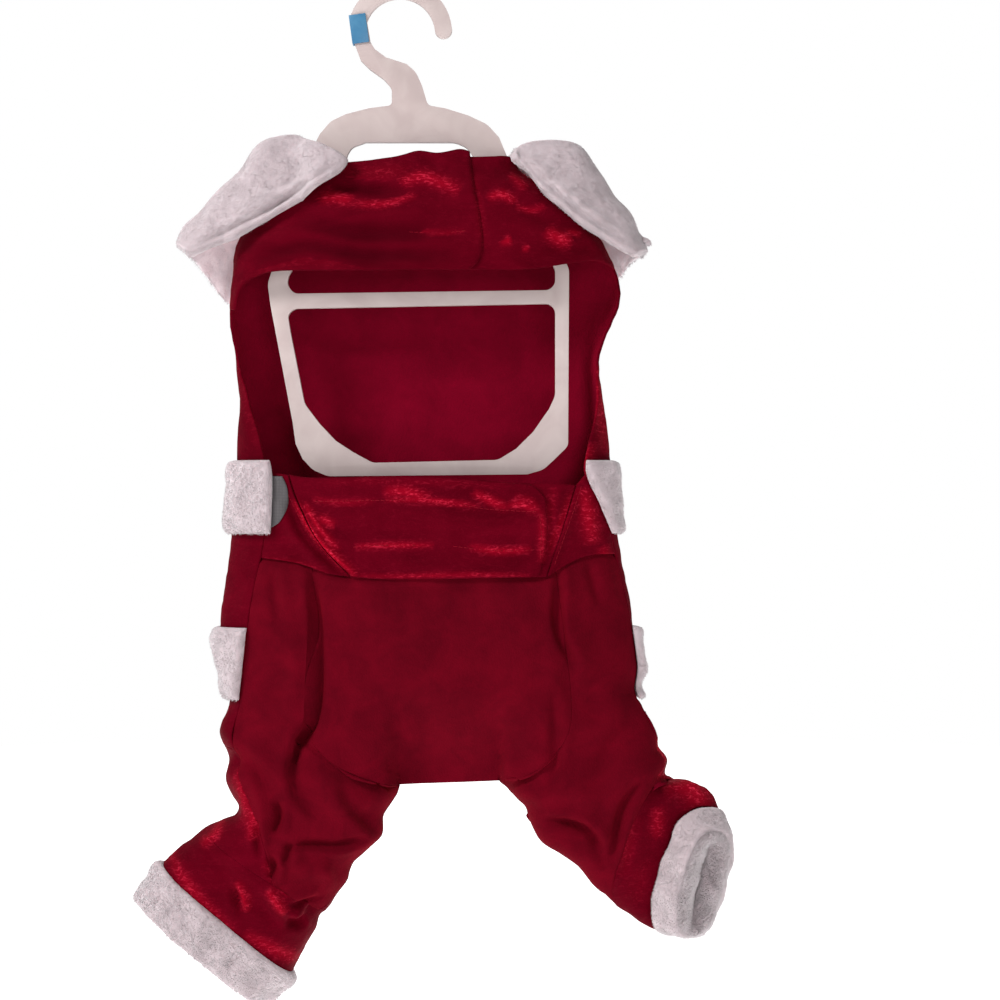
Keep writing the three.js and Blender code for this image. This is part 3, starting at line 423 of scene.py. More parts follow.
def relief_at(points: np.ndarray, normals: np.ndarray, crush: float) -> Relief:
    """The cloth's relief at points of its plain form.

    Front folds count where the cloth faces the front and back folds where it faces the back.
    Notches count on every side. Slow waves keep wide areas from being even, and crush adds the
    small dents of flattened nap.

    Args:
        points: Places in mm.
        normals: Their outward normals.
        crush: Height of the flattened dents in mm.

    Returns:
        Heights in mm and the painted light: painted sheen above 0, painted shade below 0.
    """
    x, z = points[..., 0], points[..., 2]
    front, back = fold_relief(x, z, FRONT_FOLDS), fold_relief(x, z, BACK_FOLDS)
    to_front, to_back = smooth(-1.8 * normals[..., 1]), smooth(1.8 * normals[..., 1])
    height = front.height * to_front + back.height * to_back
    for x0, z0, radius, depth in NOTCHES.rows:
        height = height - depth * np.exp(-((x - x0) ** 2 + (z - z0) ** 2) / radius**2)
    height = height + 0.5 * soft_noise(points, 46, 4)
    height = height + crush * (0.6 * soft_noise(points, 13, 5) + 0.4 * soft_noise(points, 6.5, 6))
    shown = smooth(0.6 - 2 * normals[..., 1])
    # Painted light of the front folds where the cloth faces the front, of the back folds elsewhere.
    return Relief(height, front.painted_light_amount * shown + back.painted_light_amount * (1 - shown))


# ---------------------------------------------------------------- forms
def oval_depth(sine: np.ndarray) -> np.ndarray:
    """Share of the depth at a sine, squared towards flat faces: s (1 + F (1 - s^2))."""
    return sine * (1 + FLATTEN * (1 - sine**2))


def normals_of(form, u: np.ndarray, v: np.ndarray, du: float, dv: float) -> np.ndarray:
    """Unit normals of a form: the cross product of its slopes along u and v."""
    across = form(u + du, v) - form(u - du, v)
    along = form(u, v + dv) - form(u, v - dv)
    normal = np.cross(across, along)
    return normal / np.linalg.norm(normal, axis=-1, keepdims=True)


@dataclass(frozen=True)
class BodyForm:
    """The body tube: squared ovals stacked in z that part into the two leg tops."""

    folds: tuple[tuple[float, ...], ...] = (
        (-47, -316, -52, -424, 5, 3.2),
        (86, -316, 95, -400, 6, 2.4),
    )
    fold_fade: float = 22.0

    def sizes(self, z: np.ndarray) -> tuple[np.ndarray, ...]:
        """Left, right, front and back of the section at each height."""
        place = BODY.place(z)
        return tuple(BODY.read(place, name) for name in ("left", "right", "front", "back"))

    def long_folds(self, x: np.ndarray, z: np.ndarray) -> np.ndarray:
        """Depth of the two long hanging folds of the knit front."""
        depth = np.zeros_like(x)
        for x_top, z_top, x_low, z_low, width, deep in self.folds:
            run = np.clip((z - z_top) / (z_low - z_top), 0, 1)
            middle = x_top + (x_low - x_top) * run
            fade = smooth((z_top - z) / self.fold_fade) * smooth((z - z_low) / self.fold_fade)
            depth = depth + deep * fade * np.exp(-(((x - middle) / width) ** 2))
        return depth

    @staticmethod
    def lower_edge(x: np.ndarray) -> np.ndarray:
        """Height where the legs start, along straight lines between the leg tops' ends."""
        ends = [(row[0], row[1], row[2], row[3]) for row in (LEG_LEFT.rows[0], LEG_RIGHT.rows[0])]
        (lax, laz, lbx, lbz), (rax, raz, rbx, rbz) = ends
        return np.interp(x, [lax, lbx, rbx, rax], [laz, lbz, rbz, raz])

    @staticmethod
    def leg_depth(x: np.ndarray) -> np.ndarray:
        """Depth of the two leg tops, and of the crotch between them."""
        depth = np.full_like(x, CROTCH_HALF)
        for ax, _, bx, _, _, vy, *_ in (LEG_LEFT.rows[0], LEG_RIGHT.rows[0]):
            cosine = (x - (ax + bx) / 2) / (abs(ax - bx) / 2)
            oval = -vy * oval_depth(np.sqrt(np.clip(1 - cosine**2, 0, 1)))
            depth = np.where(np.abs(cosine) < 1, np.maximum(oval, CROTCH_HALF), depth)
        return depth

    def point(self, phi: np.ndarray, z: np.ndarray) -> np.ndarray:
        """Outer face of the body.

        x is the section's middle plus its half width times the cosine; y is its depth times the
        squared oval of the sine, blended into the leg tops below SPLIT_TOP.

        Args:
            phi: Degrees: 0 right side, 90 back, 180 left side, 270 front.
            z: Heights.

        Returns:
            Points, last axis x, y, z.
        """
        left, right, front, back = self.sizes(z)
        angle = np.radians(phi)
        x = (left + right) / 2 + (right - left) / 2 * np.cos(angle)
        sine = np.sin(angle)
        is_front = sine < 0
        depth = np.where(is_front, front, back) * oval_depth(np.abs(sine))
        share = smooth((SPLIT_TOP - z) / (SPLIT_TOP - self.lower_edge(x)))
        depth = depth + (self.leg_depth(x) - depth) * share
        folded = np.maximum(depth - self.long_folds(x, z), np.minimum(depth, CROTCH_HALF))
        y = np.where(is_front, -folded, depth)
        return np.stack([x, y, z + 0 * x], axis=-1)

    def normals(self, phi: np.ndarray, z: np.ndarray) -> np.ndarray:
        """Unit normals of the outer face."""
        return normals_of(self.point, phi, z, TURN_STEP, DROP_STEP)

    def angle(self, x: np.ndarray, z: np.ndarray) -> np.ndarray:
        """Degrees on the body's front at each x."""
        left, right, _, _ = self.sizes(z)
        cosine = np.clip((x - (left + right) / 2) / ((right - left) / 2), -1, 1)
        return 360 - np.degrees(np.arccos(cosine))


FORM = BodyForm()


@dataclass(frozen=True)
class Skin:
    """A grid of the cloth's outer face with its normals and its painted light, painted sheen above 0 and
    painted shade below 0.
    """

    points: np.ndarray
    normals: np.ndarray
    painted_light_amount: np.ndarray
    ring: bool = False


def dressed(points: np.ndarray, normals: np.ndarray, crush: float, ring: bool = False) -> Skin:
    """Gives plain points their folds, moved out along the normals."""
    relief = relief_at(points, normals, crush)
    return Skin(points + normals * relief.height[..., None], normals, relief.painted_light_amount, ring)


def spacing(count: int, ends: float = 0.55) -> np.ndarray:
    """Shares 0..1, closer together at both ends: a straight run mixed with a cosine."""
    share = np.linspace(0, 1, count + 1)
    return (1 - ends) * share + ends * (1 - np.cos(math.pi * share)) / 2


def resample(line: np.ndarray, share: np.ndarray) -> np.ndarray:
    """Points of a polyline at shares of its length."""
    length = np.concatenate([[0], np.cumsum(np.linalg.norm(np.diff(line, axis=0), axis=1))])
    return np.stack([np.interp(share * length[-1], length, line[:, k]) for k in (0, 1)], axis=-1)


def rounded_line(rows: Line, steps: int = 8) -> np.ndarray:
    """A Catmull-Rom curve through rows of x and z, with its corners rounded."""
    table = Table("x z", tuple(rows))
    place = np.linspace(0, len(rows) - 1, steps * (len(rows) - 1) + 1)
    return np.stack([table.read(place, "x"), table.read(place, "z")], axis=-1)


def front_line(rows: Line, steps: int = 8) -> np.ndarray:
    """A rounded line on the body's front, as rows of degrees and height."""
    line = rounded_line(rows, steps)
    return np.stack([FORM.angle(line[:, 0], line[:, 1]), line[:, 1]], axis=-1)


def half_seam(z: np.ndarray) -> np.ndarray:
    """Half a seam at the sides, in degrees."""
    return np.degrees(SEAM_LOOK / FORM.sizes(z)[2])


def side_line(side: str, z_top: float, z_low: float, count: int = 40) -> np.ndarray:
    """The seam where a front piece meets the back panels, as rows of degrees and height."""
    z = np.linspace(z_top, z_low, count)
    turn = COAT_EDGES.read(COAT_EDGES.place(z), side) + half_seam(z)
    return np.stack([180 + turn if side == "left" else 360 - turn, z], axis=-1)


def coons(edges: dict[str, np.ndarray], v: np.ndarray, u: np.ndarray) -> np.ndarray:
    """A patch between four edge lines: both ruled surfaces less the corners' bilinear one.

    Args:
        edges: top, bottom, left and right lines, each rows of two numbers.
        v: Shares down the patch.
        u: Shares across it.

    Returns:
        A grid of the lines' two numbers.
    """
    top, bottom = resample(edges["top"], u), resample(edges["bottom"], u)
    left, right = resample(edges["left"], v), resample(edges["right"], v)
    down, over = v[:, None, None], u[None, :, None]
    ruled = (1 - down) * top + down * bottom + (1 - over) * left[:, None] + over * right[:, None]
    corners = ((1 - down) * ((1 - over) * edges["top"][0] + over * edges["top"][-1])
               + down * ((1 - over) * edges["bottom"][0] + over * edges["bottom"][-1]))
    return ruled - corners


def front_patch(edges: dict[str, np.ndarray], rows: int, cols: int) -> tuple[np.ndarray, np.ndarray]:
    """Points and normals of a panel on the body's front between four edge lines."""
    grid = coons(edges, spacing(rows), spacing(cols))
    phi, z = grid[..., 0], grid[..., 1]
    return FORM.point(phi, z), FORM.normals(phi, z)


def ring_point(table: Table, theta: np.ndarray, level: np.ndarray) -> np.ndarray:
    """Points of a leg: tilted squared ovals, each round the middle of its two ends.

    Args:
        table: The rings.
        theta: Degrees: 0 outer end, 90 front, 180 inner end, 270 back.
        level: Fractional row numbers of the rings.

    Returns:
        Points, last axis x, y, z.
    """
    ring = {name: table.read(level, name) for name in RING.split()}
    angle = np.radians(theta)
    sine, half = np.sin(angle), np.cos(angle) / 2
    depth = np.sign(sine) * oval_depth(np.abs(sine))
    x = (ring["ax"] + ring["bx"]) / 2 + (ring["ax"] - ring["bx"]) * half + ring["vx"] * depth
    z = (ring["az"] + ring["bz"]) / 2 + (ring["az"] - ring["bz"]) * half + ring["vz"] * depth
    return np.stack([x, ring["vy"] * depth - ring["forward"], z], axis=-1)


def ring_grid(table: Table, spans: tuple | None, rows: int,
              cols: int) -> tuple[np.ndarray, np.ndarray]:
    """Points and normals on stacked rings.

    Args:
        table: The rings.
        spans: Two functions of the level that give the first and last degrees, or None all round.
        rows: Steps along the leg.
        cols: Steps round it.

    Returns:
        The points and their outward normals.
    """
    level = (len(table.rows) - 1) * spacing(rows)[:, None]
    if spans is None:
        theta = np.linspace(0, 360, cols, endpoint=False)[None, :] + 0 * level
    else:
        first, last = spans[0](level), spans[1](level)
        theta = first + (last - first) * spacing(cols)[None, :]
    level = level + 0 * theta
    points = ring_point(table, theta, level)
    normals = normals_of(lambda a, b: ring_point(table, a, b), theta, level, 1.0, 0.05)
    middle = (ring_point(table, 0 * theta, level) + ring_point(table, 0 * theta + 180, level)) / 2
    inward = ((points - middle) * normals).sum(-1) < 0
    return points, np.where(inward[..., None], -normals, normals)


# ---------------------------------------------------------------- meshes
def new_object(name: str, vertices: np.ndarray, faces: list[np.ndarray],
               finishes: list["Finish"], face_finish: np.ndarray | None = None,
               facts: dict[str, np.ndarray] | None = None) -> bpy.types.Object:
    """Puts arrays into a mesh object at the origin.

    Args:
        name: The piece's name.
        vertices: Places in mm.
        faces: Arrays of vertex numbers, one array for each count of corners.
        finishes: The materials.
        face_finish: Which material each face wears.
        facts: Numbers for each vertex, kept as attributes.

    Returns:
        The object.
    """
    mesh = bpy.data.meshes.new(name)
    mesh.vertices.add(len(vertices))
    mesh.vertices.foreach_set("co", (vertices * MM).astype(np.float32).ravel())
    sizes = np.concatenate([np.full(len(part), part.shape[1]) for part in faces])
    mesh.loops.add(int(sizes.sum()))
    mesh.loops.foreach_set("vertex_index", np.concatenate([p.ravel() for p in faces]).astype(np.int32))
    mesh.polygons.add(len(sizes))
    mesh.polygons.foreach_set("loop_start", (np.cumsum(sizes) - sizes).astype(np.int32))
    mesh.polygons.foreach_set("use_smooth", np.ones(len(sizes), bool))
    if face_finish is not None:
        mesh.polygons.foreach_set("material_index", face_finish.astype(np.int32))
    mesh.update(calc_edges=True)
    for key, values in (facts or {}).items():
        mesh.attributes.new(key, "FLOAT", "POINT").data.foreach_set("value", values.astype(np.float32))
    for finish in finishes:
        mesh.materials.append(finish.material())
    piece = bpy.data.objects.new(name, mesh)
    bpy.context.scene.collection.objects.link(piece)
    return piece


def signed_volume(vertices: np.ndarray, quads: np.ndarray) -> float:
    """Volume inside quads, from the sum of their corners' triple products."""
    a, b, c, d = (vertices[quads[:, k]] for k in range(4))
    return float((np.einsum("ij,ij->i", a, np.cross(b, c)) + np.einsum("ij,ij->i", a, np.cross(c, d))).sum())


@dataclass(frozen=True)
class Rounding:
    """How a wall's rims are rounded: the reach at each edge in mm, and where the skins meet."""

    top: float = 1.2
    bottom: float = 1.2
    left: float = 1.2
    right: float = 1.2
    root: float = 0.5  # share of the thickness at which inner and outer skin meet
    least: float = 0.25  # share of the thickness left at the rim

    def share(self, grid: np.ndarray, ring: bool) -> np.ndarray:
        """Share of the thickness at each point: a quarter circle in from every edge."""
        down = np.linalg.norm(np.diff(grid, axis=0), axis=2)
        down = np.concatenate([np.zeros((1, grid.shape[1])), np.cumsum(down, axis=0)])
        edges = [(down, self.top), (down[-1] - down, self.bottom)]
        if not ring:
            over = np.linalg.norm(np.diff(grid, axis=1), axis=2)
            over = np.concatenate([np.zeros((grid.shape[0], 1)), np.cumsum(over, axis=1)], axis=1)
            edges += [(over, self.left), (over[:, -1:] - over, self.right)]
        share = np.ones(grid.shape[:2])
        for distance, reach in edges:
            if reach > 0:
                near = 1 - np.clip(distance / reach, 0, 1)
                share = np.minimum(share, np.sqrt(np.clip(1 - near**2, 0, 1)))
        return np.maximum(share, self.least)


SEWN = Rounding(0.5, 0.5, 0.5, 0.5, root=0.5, least=0.8)  # nearly square, so that neighbours meet


def wall(name: str, skin: Skin, low: np.ndarray | float, high: np.ndarray | float,
         finishes: list["Finish"], rounding: Rounding = Rounding()) -> bpy.types.Object:
    """A closed wall on a skin: an inner and an outer grid along the normals, joined by rims.

    Args:
        name: The piece's name.
        skin: The grid.
        low: Inner distance in mm.
        high: Outer distance in mm.
        finishes: The face finish, and perhaps that of the wrong side.
        rounding: The rims' rounding.

    Returns:
        The object.
    """
    grid, normals = skin.points, skin.normals
    rows, cols = grid.shape[:2]
    share = rounding.share(grid, skin.ring)
    root = low + (high - low) * rounding.root
    inner = grid + normals * (root + (low - root) * share)[..., None]
    outer = grid + normals * (root + (high - root) * share)[..., None]
    vertices = np.concatenate([inner.reshape(-1, 3), outer.reshape(-1, 3)])
    number = np.arange(rows * cols).reshape(rows, cols)
    if skin.ring:
        number = np.concatenate([number, number[:, :1]], axis=1)
    corners = (number[:-1, :-1], number[1:, :-1], number[1:, 1:], number[:-1, 1:])
    a, b, c, d = (part.ravel() for part in corners)
    far = rows * cols
    inside, outside = np.stack([a, b, c, d], 1), np.stack([a, d, c, b], 1) + far
    edges = [(number[0], False), (number[-1], True)]
    if not skin.ring:
        edges += [(number[:, 0], True), (number[:, -1], False)]
    rims = [rim_quads(edge, far, turned) for edge, turned in edges]
    quads = np.concatenate([inside, outside, *rims])
    if signed_volume(vertices, quads) < 0:
        quads = quads[:, ::-1]
    worn = np.zeros(len(quads), int)
    if len(finishes) > 1:
        worn[: len(inside)] = 1
    # Each vertex keeps its painted light, which the velvet turns into painted sheen, painted highlights and
    # painted shade.
    painted_light_amount = np.concatenate([skin.painted_light_amount.ravel(), skin.painted_light_amount.ravel()])
    return new_object(name, vertices, [quads], finishes, worn, {"painted_light_amount": painted_light_amount})


def rim_quads(edge: np.ndarray, far: int, turned: bool) -> np.ndarray:
    """Quads that join an edge of the inner skin to the same edge of the outer one."""
    quads = np.stack([edge[:-1], edge[1:], edge[1:] + far, edge[:-1] + far], 1)
    return quads[:, ::-1] if turned else quads


def grid_normals(points: np.ndarray, facing: np.ndarray, ring: bool = False) -> np.ndarray:
    """Normals of a grid from its central differences, turned to agree with a facing way."""
    wide = np.concatenate([points[:, -1:], points, points[:, :1]], axis=1) if ring else points
    across, down = np.gradient(wide, axis=1), np.gradient(wide, axis=0)
    normals = np.cross(across, down)
    if ring:
        normals = normals[:, 1:-1]
    normals /= np.maximum(np.linalg.norm(normals, axis=-1, keepdims=True), 1e-9)
    return np.where((normals * facing).sum(-1, keepdims=True) < 0, -normals, normals)


def outer_face(skin: Skin, height: np.ndarray | float, low: np.ndarray | float,
               rounding: Rounding) -> Skin:
    """The outer face of a wall as a skin of its own, with its rounded edges' normals."""
    share = rounding.share(skin.points, skin.ring)
    root = low + (height - low) * rounding.root
    points = skin.points + skin.normals * (root + (height - root) * share)[..., None]
    return Skin(points, grid_normals(points, skin.normals, skin.ring), skin.painted_light_amount, skin.ring)


# ---------------------------------------------------------------- finishes
def linear(colour: str) -> tuple[float, float, float, float]:
    """Turns an sRGB hex colour to linear numbers by the sRGB curve."""
    parts = [int(colour[k:k + 2], 16) / 255 for k in (1, 3, 5)]
    return (*(p / 12.92 if p <= 0.04045 else ((p + 0.055) / 1.055) ** 2.4 for p in parts), 1.0)


def add_node(tree: bpy.types.NodeTree, kind: str, settings: dict | None = None,
             links: dict | None = None) -> bpy.types.Node:
    """Adds a node with its settings and links.

    Args:
        tree: The node tree.
        kind: The node's type.
        settings: Values of properties, and of inputs by name or number.
        links: Inputs by name or number, each with the socket that feeds it.

    Returns:
        The node.
    """
    node = tree.nodes.new(kind)
    for key, value in (settings or {}).items():
        if isinstance(key, int) or key in node.inputs:
            node.inputs[key].default_value = value
        else:
            setattr(node, key, value)
    for key, socket in (links or {}).items():
        tree.links.new(socket, node.inputs[key])
    return node


def add_ramp(tree: bpy.types.NodeTree, factor: bpy.types.NodeSocket,
             stops: tuple[tuple[float, str], ...]) -> bpy.types.NodeSocket:
    """Colours a factor by stops of place and hex colour, and returns the colour."""
    node = add_node(tree, "ShaderNodeValToRGB", links={"Fac": factor})
    elements = node.color_ramp.elements
    for index, (place, colour) in enumerate(stops):
        element = elements[index] if index < 2 else elements.new(place)
        element.position = place
        element.color = linear(colour)
    return node.outputs["Color"]


@dataclass(frozen=True)
class Finish:
    """A named material, made once."""

    name: str

    def material(self) -> bpy.types.Material:
        """The material, built on first use."""
        found = bpy.data.materials.get(self.name)
        if found:
            return found
        made = bpy.data.materials.new(self.name)
        made.use_nodes = True
        tree = made.node_tree
        tree.nodes.clear()
        shader = add_node(tree, "ShaderNodeBsdfPrincipled")
        add_node(tree, "ShaderNodeOutputMaterial", links={"Surface": shader.outputs["BSDF"]})
        self.fill(tree, shader)
        return made

    def millimetres(self, tree: bpy.types.NodeTree, stretch: tuple[float, float, float] = (1, 1, 1),
                    turn: tuple[float, float, float] = (0, 0, 0)) -> bpy.types.NodeSocket:
        """Object coordinates in mm, stretched and turned."""
        coordinates = add_node(tree, "ShaderNodeTexCoord")
        mapping = add_node(tree, "ShaderNodeMapping",
                           {"Scale": [s / MM for s in stretch],
                            "Rotation": [math.radians(t) for t in turn]},
                           {"Vector": coordinates.outputs["Object"]})
        return mapping.outputs["Vector"]

    def noise(self, tree: bpy.types.NodeTree, vector: bpy.types.NodeSocket, size: float,
              detail: float = 3, distortion: float = 0, roughness: float = 0.5) -> bpy.types.NodeSocket:
        """Noise with features of about size mm."""
        settings = {"Scale": 1 / size, "Detail": detail, "Distortion": distortion, "Roughness": roughness}
        return add_node(tree, "ShaderNodeTexNoise", settings, {"Vector": vector}).outputs["Fac"]

    @staticmethod
    def colour(tree: bpy.types.NodeTree, shader: bpy.types.Node, factor: bpy.types.NodeSocket,
               stops: tuple[tuple[float, str], ...]) -> None:
        """Colours the shader by a factor and stops of place and hex colour."""
        tree.links.new(add_ramp(tree, factor, stops), shader.inputs["Base Color"])

    @staticmethod
    def bump(tree: bpy.types.NodeTree, shader: bpy.types.Node, height: bpy.types.NodeSocket,
             strength: float, depth: float) -> None:
        """Gives the shader a bump of a depth in mm."""
        node = add_node(tree, "ShaderNodeBump", {"Strength": strength, "Distance": depth * MM},
                        {"Height": height})
        tree.links.new(node.outputs["Normal"], shader.inputs["Normal"])

    @staticmethod
    def tune(shader: bpy.types.Node, values: dict[str, object]) -> None:
        """Sets the shader's inputs by name."""
        for name, value in values.items():
            shader.inputs[name].default_value = value

    def fill(self, tree: bpy.types.NodeTree, shader: bpy.types.Node) -> None:
        """Sets the shader and what feeds it, in each finish's own way."""
        raise NotImplementedError


@dataclass(frozen=True)
class CrushedVelvet(Finish):
    """Panne velvet: knitted polyester whose nap is flattened in changing directions.

    An even deep red in darker and lighter patches of random tone, with a painted sheen and short
    painted highlights along seams, stitching and fold crests, and painted shade in some fold troughs.
    """

    dark: str = "#4c010f"
    middle: str = "#5c0214"
    # painted sheen on seams, stitching and fold crests
    painted_sheen: str = "#98061e"
    # painted highlights there
    painted_glint: str = "#d42a46"
    # painted shade in fold troughs
    painted_fold_shade: str = "#2e0109"
    patch_size: float = 22.0  # mm, areas of nap that lean one way
    streak_size: float = 2.2  # mm, single crushed streaks
    nap_size: float = 0.7  # mm, drawn coarser than the real 0.2 mm so that it shows

    def fill(self, tree: bpy.types.NodeTree, shader: bpy.types.Node) -> None:
        """Nap patches and streaks drive the colour, the gloss and the bump; the painted light adds painted
        shade, a painted sheen and painted highlights to the colour.
        """
        vector = self.millimetres(tree, (0.5, 0.8, 1.4), (0, 12, 0))
        even = self.millimetres(tree)
        patches = self.noise(tree, vector, self.patch_size, 3, 0.8)
        streaks = self.noise(tree, vector, self.streak_size, 3, 1.6, 0.6)
        nap = self.noise(tree, even, self.nap_size, 2)
        painted_light_amount = add_node(tree, "ShaderNodeAttribute", {"attribute_name": "painted_light_amount"}).outputs["Fac"]
        colour = add_ramp(tree, patches, ((0.3, self.dark), (0.7, self.middle)))
        # Painted shade: where the painted light is below 0 the colour darkens towards the fold-trough shade.
        away = add_node(tree, "ShaderNodeMath", {"operation": "MULTIPLY", 1: -1.0}, {0: painted_light_amount}).outputs[0]
        sunk = add_node(tree, "ShaderNodeMix", {"data_type": "RGBA", 7: linear(self.painted_fold_shade)},
                        {0: away, 6: colour}).outputs[2]
        # Painted sheen: where the painted light is above 0 the colour brightens.
        lifted = add_node(tree, "ShaderNodeMix", {"data_type": "RGBA", 7: linear(self.painted_sheen)},
                          {0: painted_light_amount, 6: sunk}).outputs[2]
        # Painted highlights: streaks that show a little everywhere and most where the painted light is high.
        glint_streaks = add_node(tree, "ShaderNodeMapRange",
                         {"From Min": 0.52, "From Max": 0.66, "To Min": 0.0, "To Max": 1.0},
                         {"Value": streaks}).outputs["Result"]
        glint_strength = add_node(tree, "ShaderNodeMath", {"operation": "MULTIPLY_ADD", 1: 0.95, 2: 0.03},
                          {0: painted_light_amount}).outputs[0]
        glint_mask = add_node(tree, "ShaderNodeMath", {"operation": "MULTIPLY", "use_clamp": True},
                          {0: glint_streaks, 1: glint_strength}).outputs[0]
        mixed = add_node(tree, "ShaderNodeMix", {"data_type": "RGBA", 7: linear(self.painted_glint)},
                         {0: glint_mask, 6: lifted}).outputs[2]
        tree.links.new(mixed, shader.inputs["Base Color"])
        rough = add_node(tree, "ShaderNodeMapRange",
                         {"From Min": 0.0, "From Max": 1.0, "To Min": 0.72, "To Max": 0.42},
                         {"Value": glint_mask}).outputs["Result"]
        tree.links.new(rough, shader.inputs["Roughness"])
        height = add_node(tree, "ShaderNodeMath", {"operation": "MULTIPLY_ADD", 1: 0.3},
                          {0: nap, 2: streaks}).outputs[0]
        self.bump(tree, shader, height, 0.3, 0.8)
        self.tune(shader, {"Sheen Weight": 0.12, "Sheen Roughness": 0.35, "Sheen Tint": linear("#ff0a2c"),
                           "Specular IOR Level": 0.08, "Specular Tint": linear("#ff2038")})


@dataclass(frozen=True)
class BrushedKnit(Finish):
    """Brushed polyester knit: short raised fibres over fine loops, matt and a little cloudy."""

    low: str = "#520110"
    high: str = "#610214"
    cloud_size: float = 18.0  # mm
    loop_size: float = 1.1  # mm between loops, real 0.7 mm

    def fill(self, tree: bpy.types.NodeTree, shader: bpy.types.Node) -> None:
        """Clouds for the colour, loops and fibres for the bump."""
        even = self.millimetres(tree)
        clouds = self.noise(tree, even, self.cloud_size, 5, 0.4, 0.6)
        self.colour(tree, shader, clouds, ((0.35, self.low), (0.65, self.high)))
        loops = add_node(tree, "ShaderNodeTexVoronoi", {"Scale": 1 / self.loop_size},
                         {"Vector": self.millimetres(tree, (1, 1, 0.75))}).outputs["Distance"]
        fibres = self.noise(tree, even, 0.8, 3)
        height = add_node(tree, "ShaderNodeMath", {"operation": "MULTIPLY_ADD", 1: 0.8},
                          {0: fibres, 2: loops}).outputs[0]
        self.bump(tree, shader, height, 0.35, 0.35)
        self.tune(shader, {"Roughness": 0.95, "Sheen Weight": 0.1, "Sheen Roughness": 0.5,
                           "Sheen Tint": linear("#ff0a2c"), "Specular IOR Level": 0.04})


@dataclass(frozen=True)
class Plush(Finish):
    """White polyester plush: the pile scatters light, so its hollows stay pale."""

    low: str = "#b8a9ad"
    high: str = "#d0c1c5"
    cloud_size: float = 7.0  # mm, tufts that lean together
    fibre_size: float = 0.6  # mm
    scatter: float = 0.0  # share of light that spreads under the surface and softens shadows

    def fill(self, tree: bpy.types.NodeTree, shader: bpy.types.Node) -> None:
        """Clouds of pale grey with a fine fibre bump."""
        even = self.millimetres(tree)
        clouds = self.noise(tree, even, self.cloud_size, 4, 0.5, 0.6)
        self.colour(tree, shader, clouds, ((0.3, self.low), (0.68, self.high)))
        fibres = self.noise(tree, even, self.fibre_size, 2)
        self.bump(tree, shader, fibres, 0.3, 0.4)
        self.tune(shader, {"Roughness": 0.95, "Sheen Weight": 0.25, "Sheen Roughness": 0.5,
                           "Subsurface Weight": self.scatter, "Subsurface Radius": (1.0, 0.85, 0.85),
                           "Subsurface Scale": 3.0 * MM, "Specular IOR Level": 0.15})


@dataclass(frozen=True)
class Moulded(Finish):
    """Injection-moulded polystyrene: smooth, with a faint flow pattern and a satin skin."""

    low: str = "#bcaaa8"
    high: str = "#c6b6b3"
    roughness: float = 0.38

    def fill(self, tree: bpy.types.NodeTree, shader: bpy.types.Node) -> None:
        """Slow flow clouds, fine texture of the mould and slightly uneven gloss."""
        even = self.millimetres(tree)
        flow = self.noise(tree, even, 22.0, 3, 1.0)
        self.colour(tree, shader, flow, ((0.35, self.low), (0.65, self.high)))
        grain = self.noise(tree, even, 0.7, 2)
        rough = add_node(tree, "ShaderNodeMapRange",
                         {"From Min": 0.3, "From Max": 0.7,
                          "To Min": self.roughness - 0.05, "To Max": self.roughness + 0.08},
                         {"Value": flow})
        tree.links.new(rough.outputs["Result"], shader.inputs["Roughness"])
        self.bump(tree, shader, grain, 0.12, 0.15)
        self.tune(shader, {"IOR": 1.59})


@dataclass(frozen=True)
class WovenLabel(Finish):
    """Damask-woven polyester label: fine warp and weft with a slight satin."""

    low: str = "#423e40"
    high: str = "#5c5759"
    thread: float = 0.8  # mm, drawn coarser than the real 0.15 mm

    def fill(self, tree: bpy.types.NodeTree, shader: bpy.types.Node) -> None:
        """Two crossed waves make the weave."""
        even = self.millimetres(tree)
        settings = {"Scale": 0.31 / self.thread, "Distortion": 0.4}
        waves = {number: add_node(tree, "ShaderNodeTexWave", {"bands_direction": way, **settings},
                                  {"Vector": even}).outputs["Fac"] for number, way in enumerate("XZ")}
        weave = add_node(tree, "ShaderNodeMath", {"operation": "MULTIPLY"}, waves).outputs[0]
        self.colour(tree, shader, weave, ((0.1, self.low), (0.8, self.high)))
        self.bump(tree, shader, weave, 0.4, 0.2)
        self.tune(shader, {"Roughness": 0.6})


@dataclass(frozen=True)
class SewingThread(Finish):
    """Polyester sewing thread: two plies twisted, a little glossy."""

    low: str = "#6a0414"
    high: str = "#9a0c24"

    def fill(self, tree: bpy.types.NodeTree, shader: bpy.types.Node) -> None:
        """Twist stripes along the stitch."""
        even = self.millimetres(tree)
        twist = add_node(tree, "ShaderNodeTexWave", {"bands_direction": "DIAGONAL", "Scale": 0.9},
                         {"Vector": even}).outputs["Fac"]
        self.colour(tree, shader, twist, ((0.2, self.low), (0.8, self.high)))
        self.tune(shader, {"Roughness": 0.6, "Specular IOR Level": 0.1})


@dataclass(frozen=True)
class PaleFloor(Finish):
    """Matt white studio floor."""

    low: str = "#f2f2f2"
    high: str = "#f7f7f7"

    def fill(self, tree: bpy.types.NodeTree, shader: bpy.types.Node) -> None:
        """Faint clouds in a matt white."""
        clouds = self.noise(tree, self.millimetres(tree), 300.0)
        self.colour(tree, shader, clouds, ((0.2, self.low), (0.8, self.high)))
        self.tune(shader, {"Roughness": 0.9, "Emission Color": linear("#ffffff"),
                           "Emission Strength": 1.0})


VELVET = CrushedVelvet("panne_velvet_crushed")
KNIT = BrushedKnit("polyester_knit_brushed")
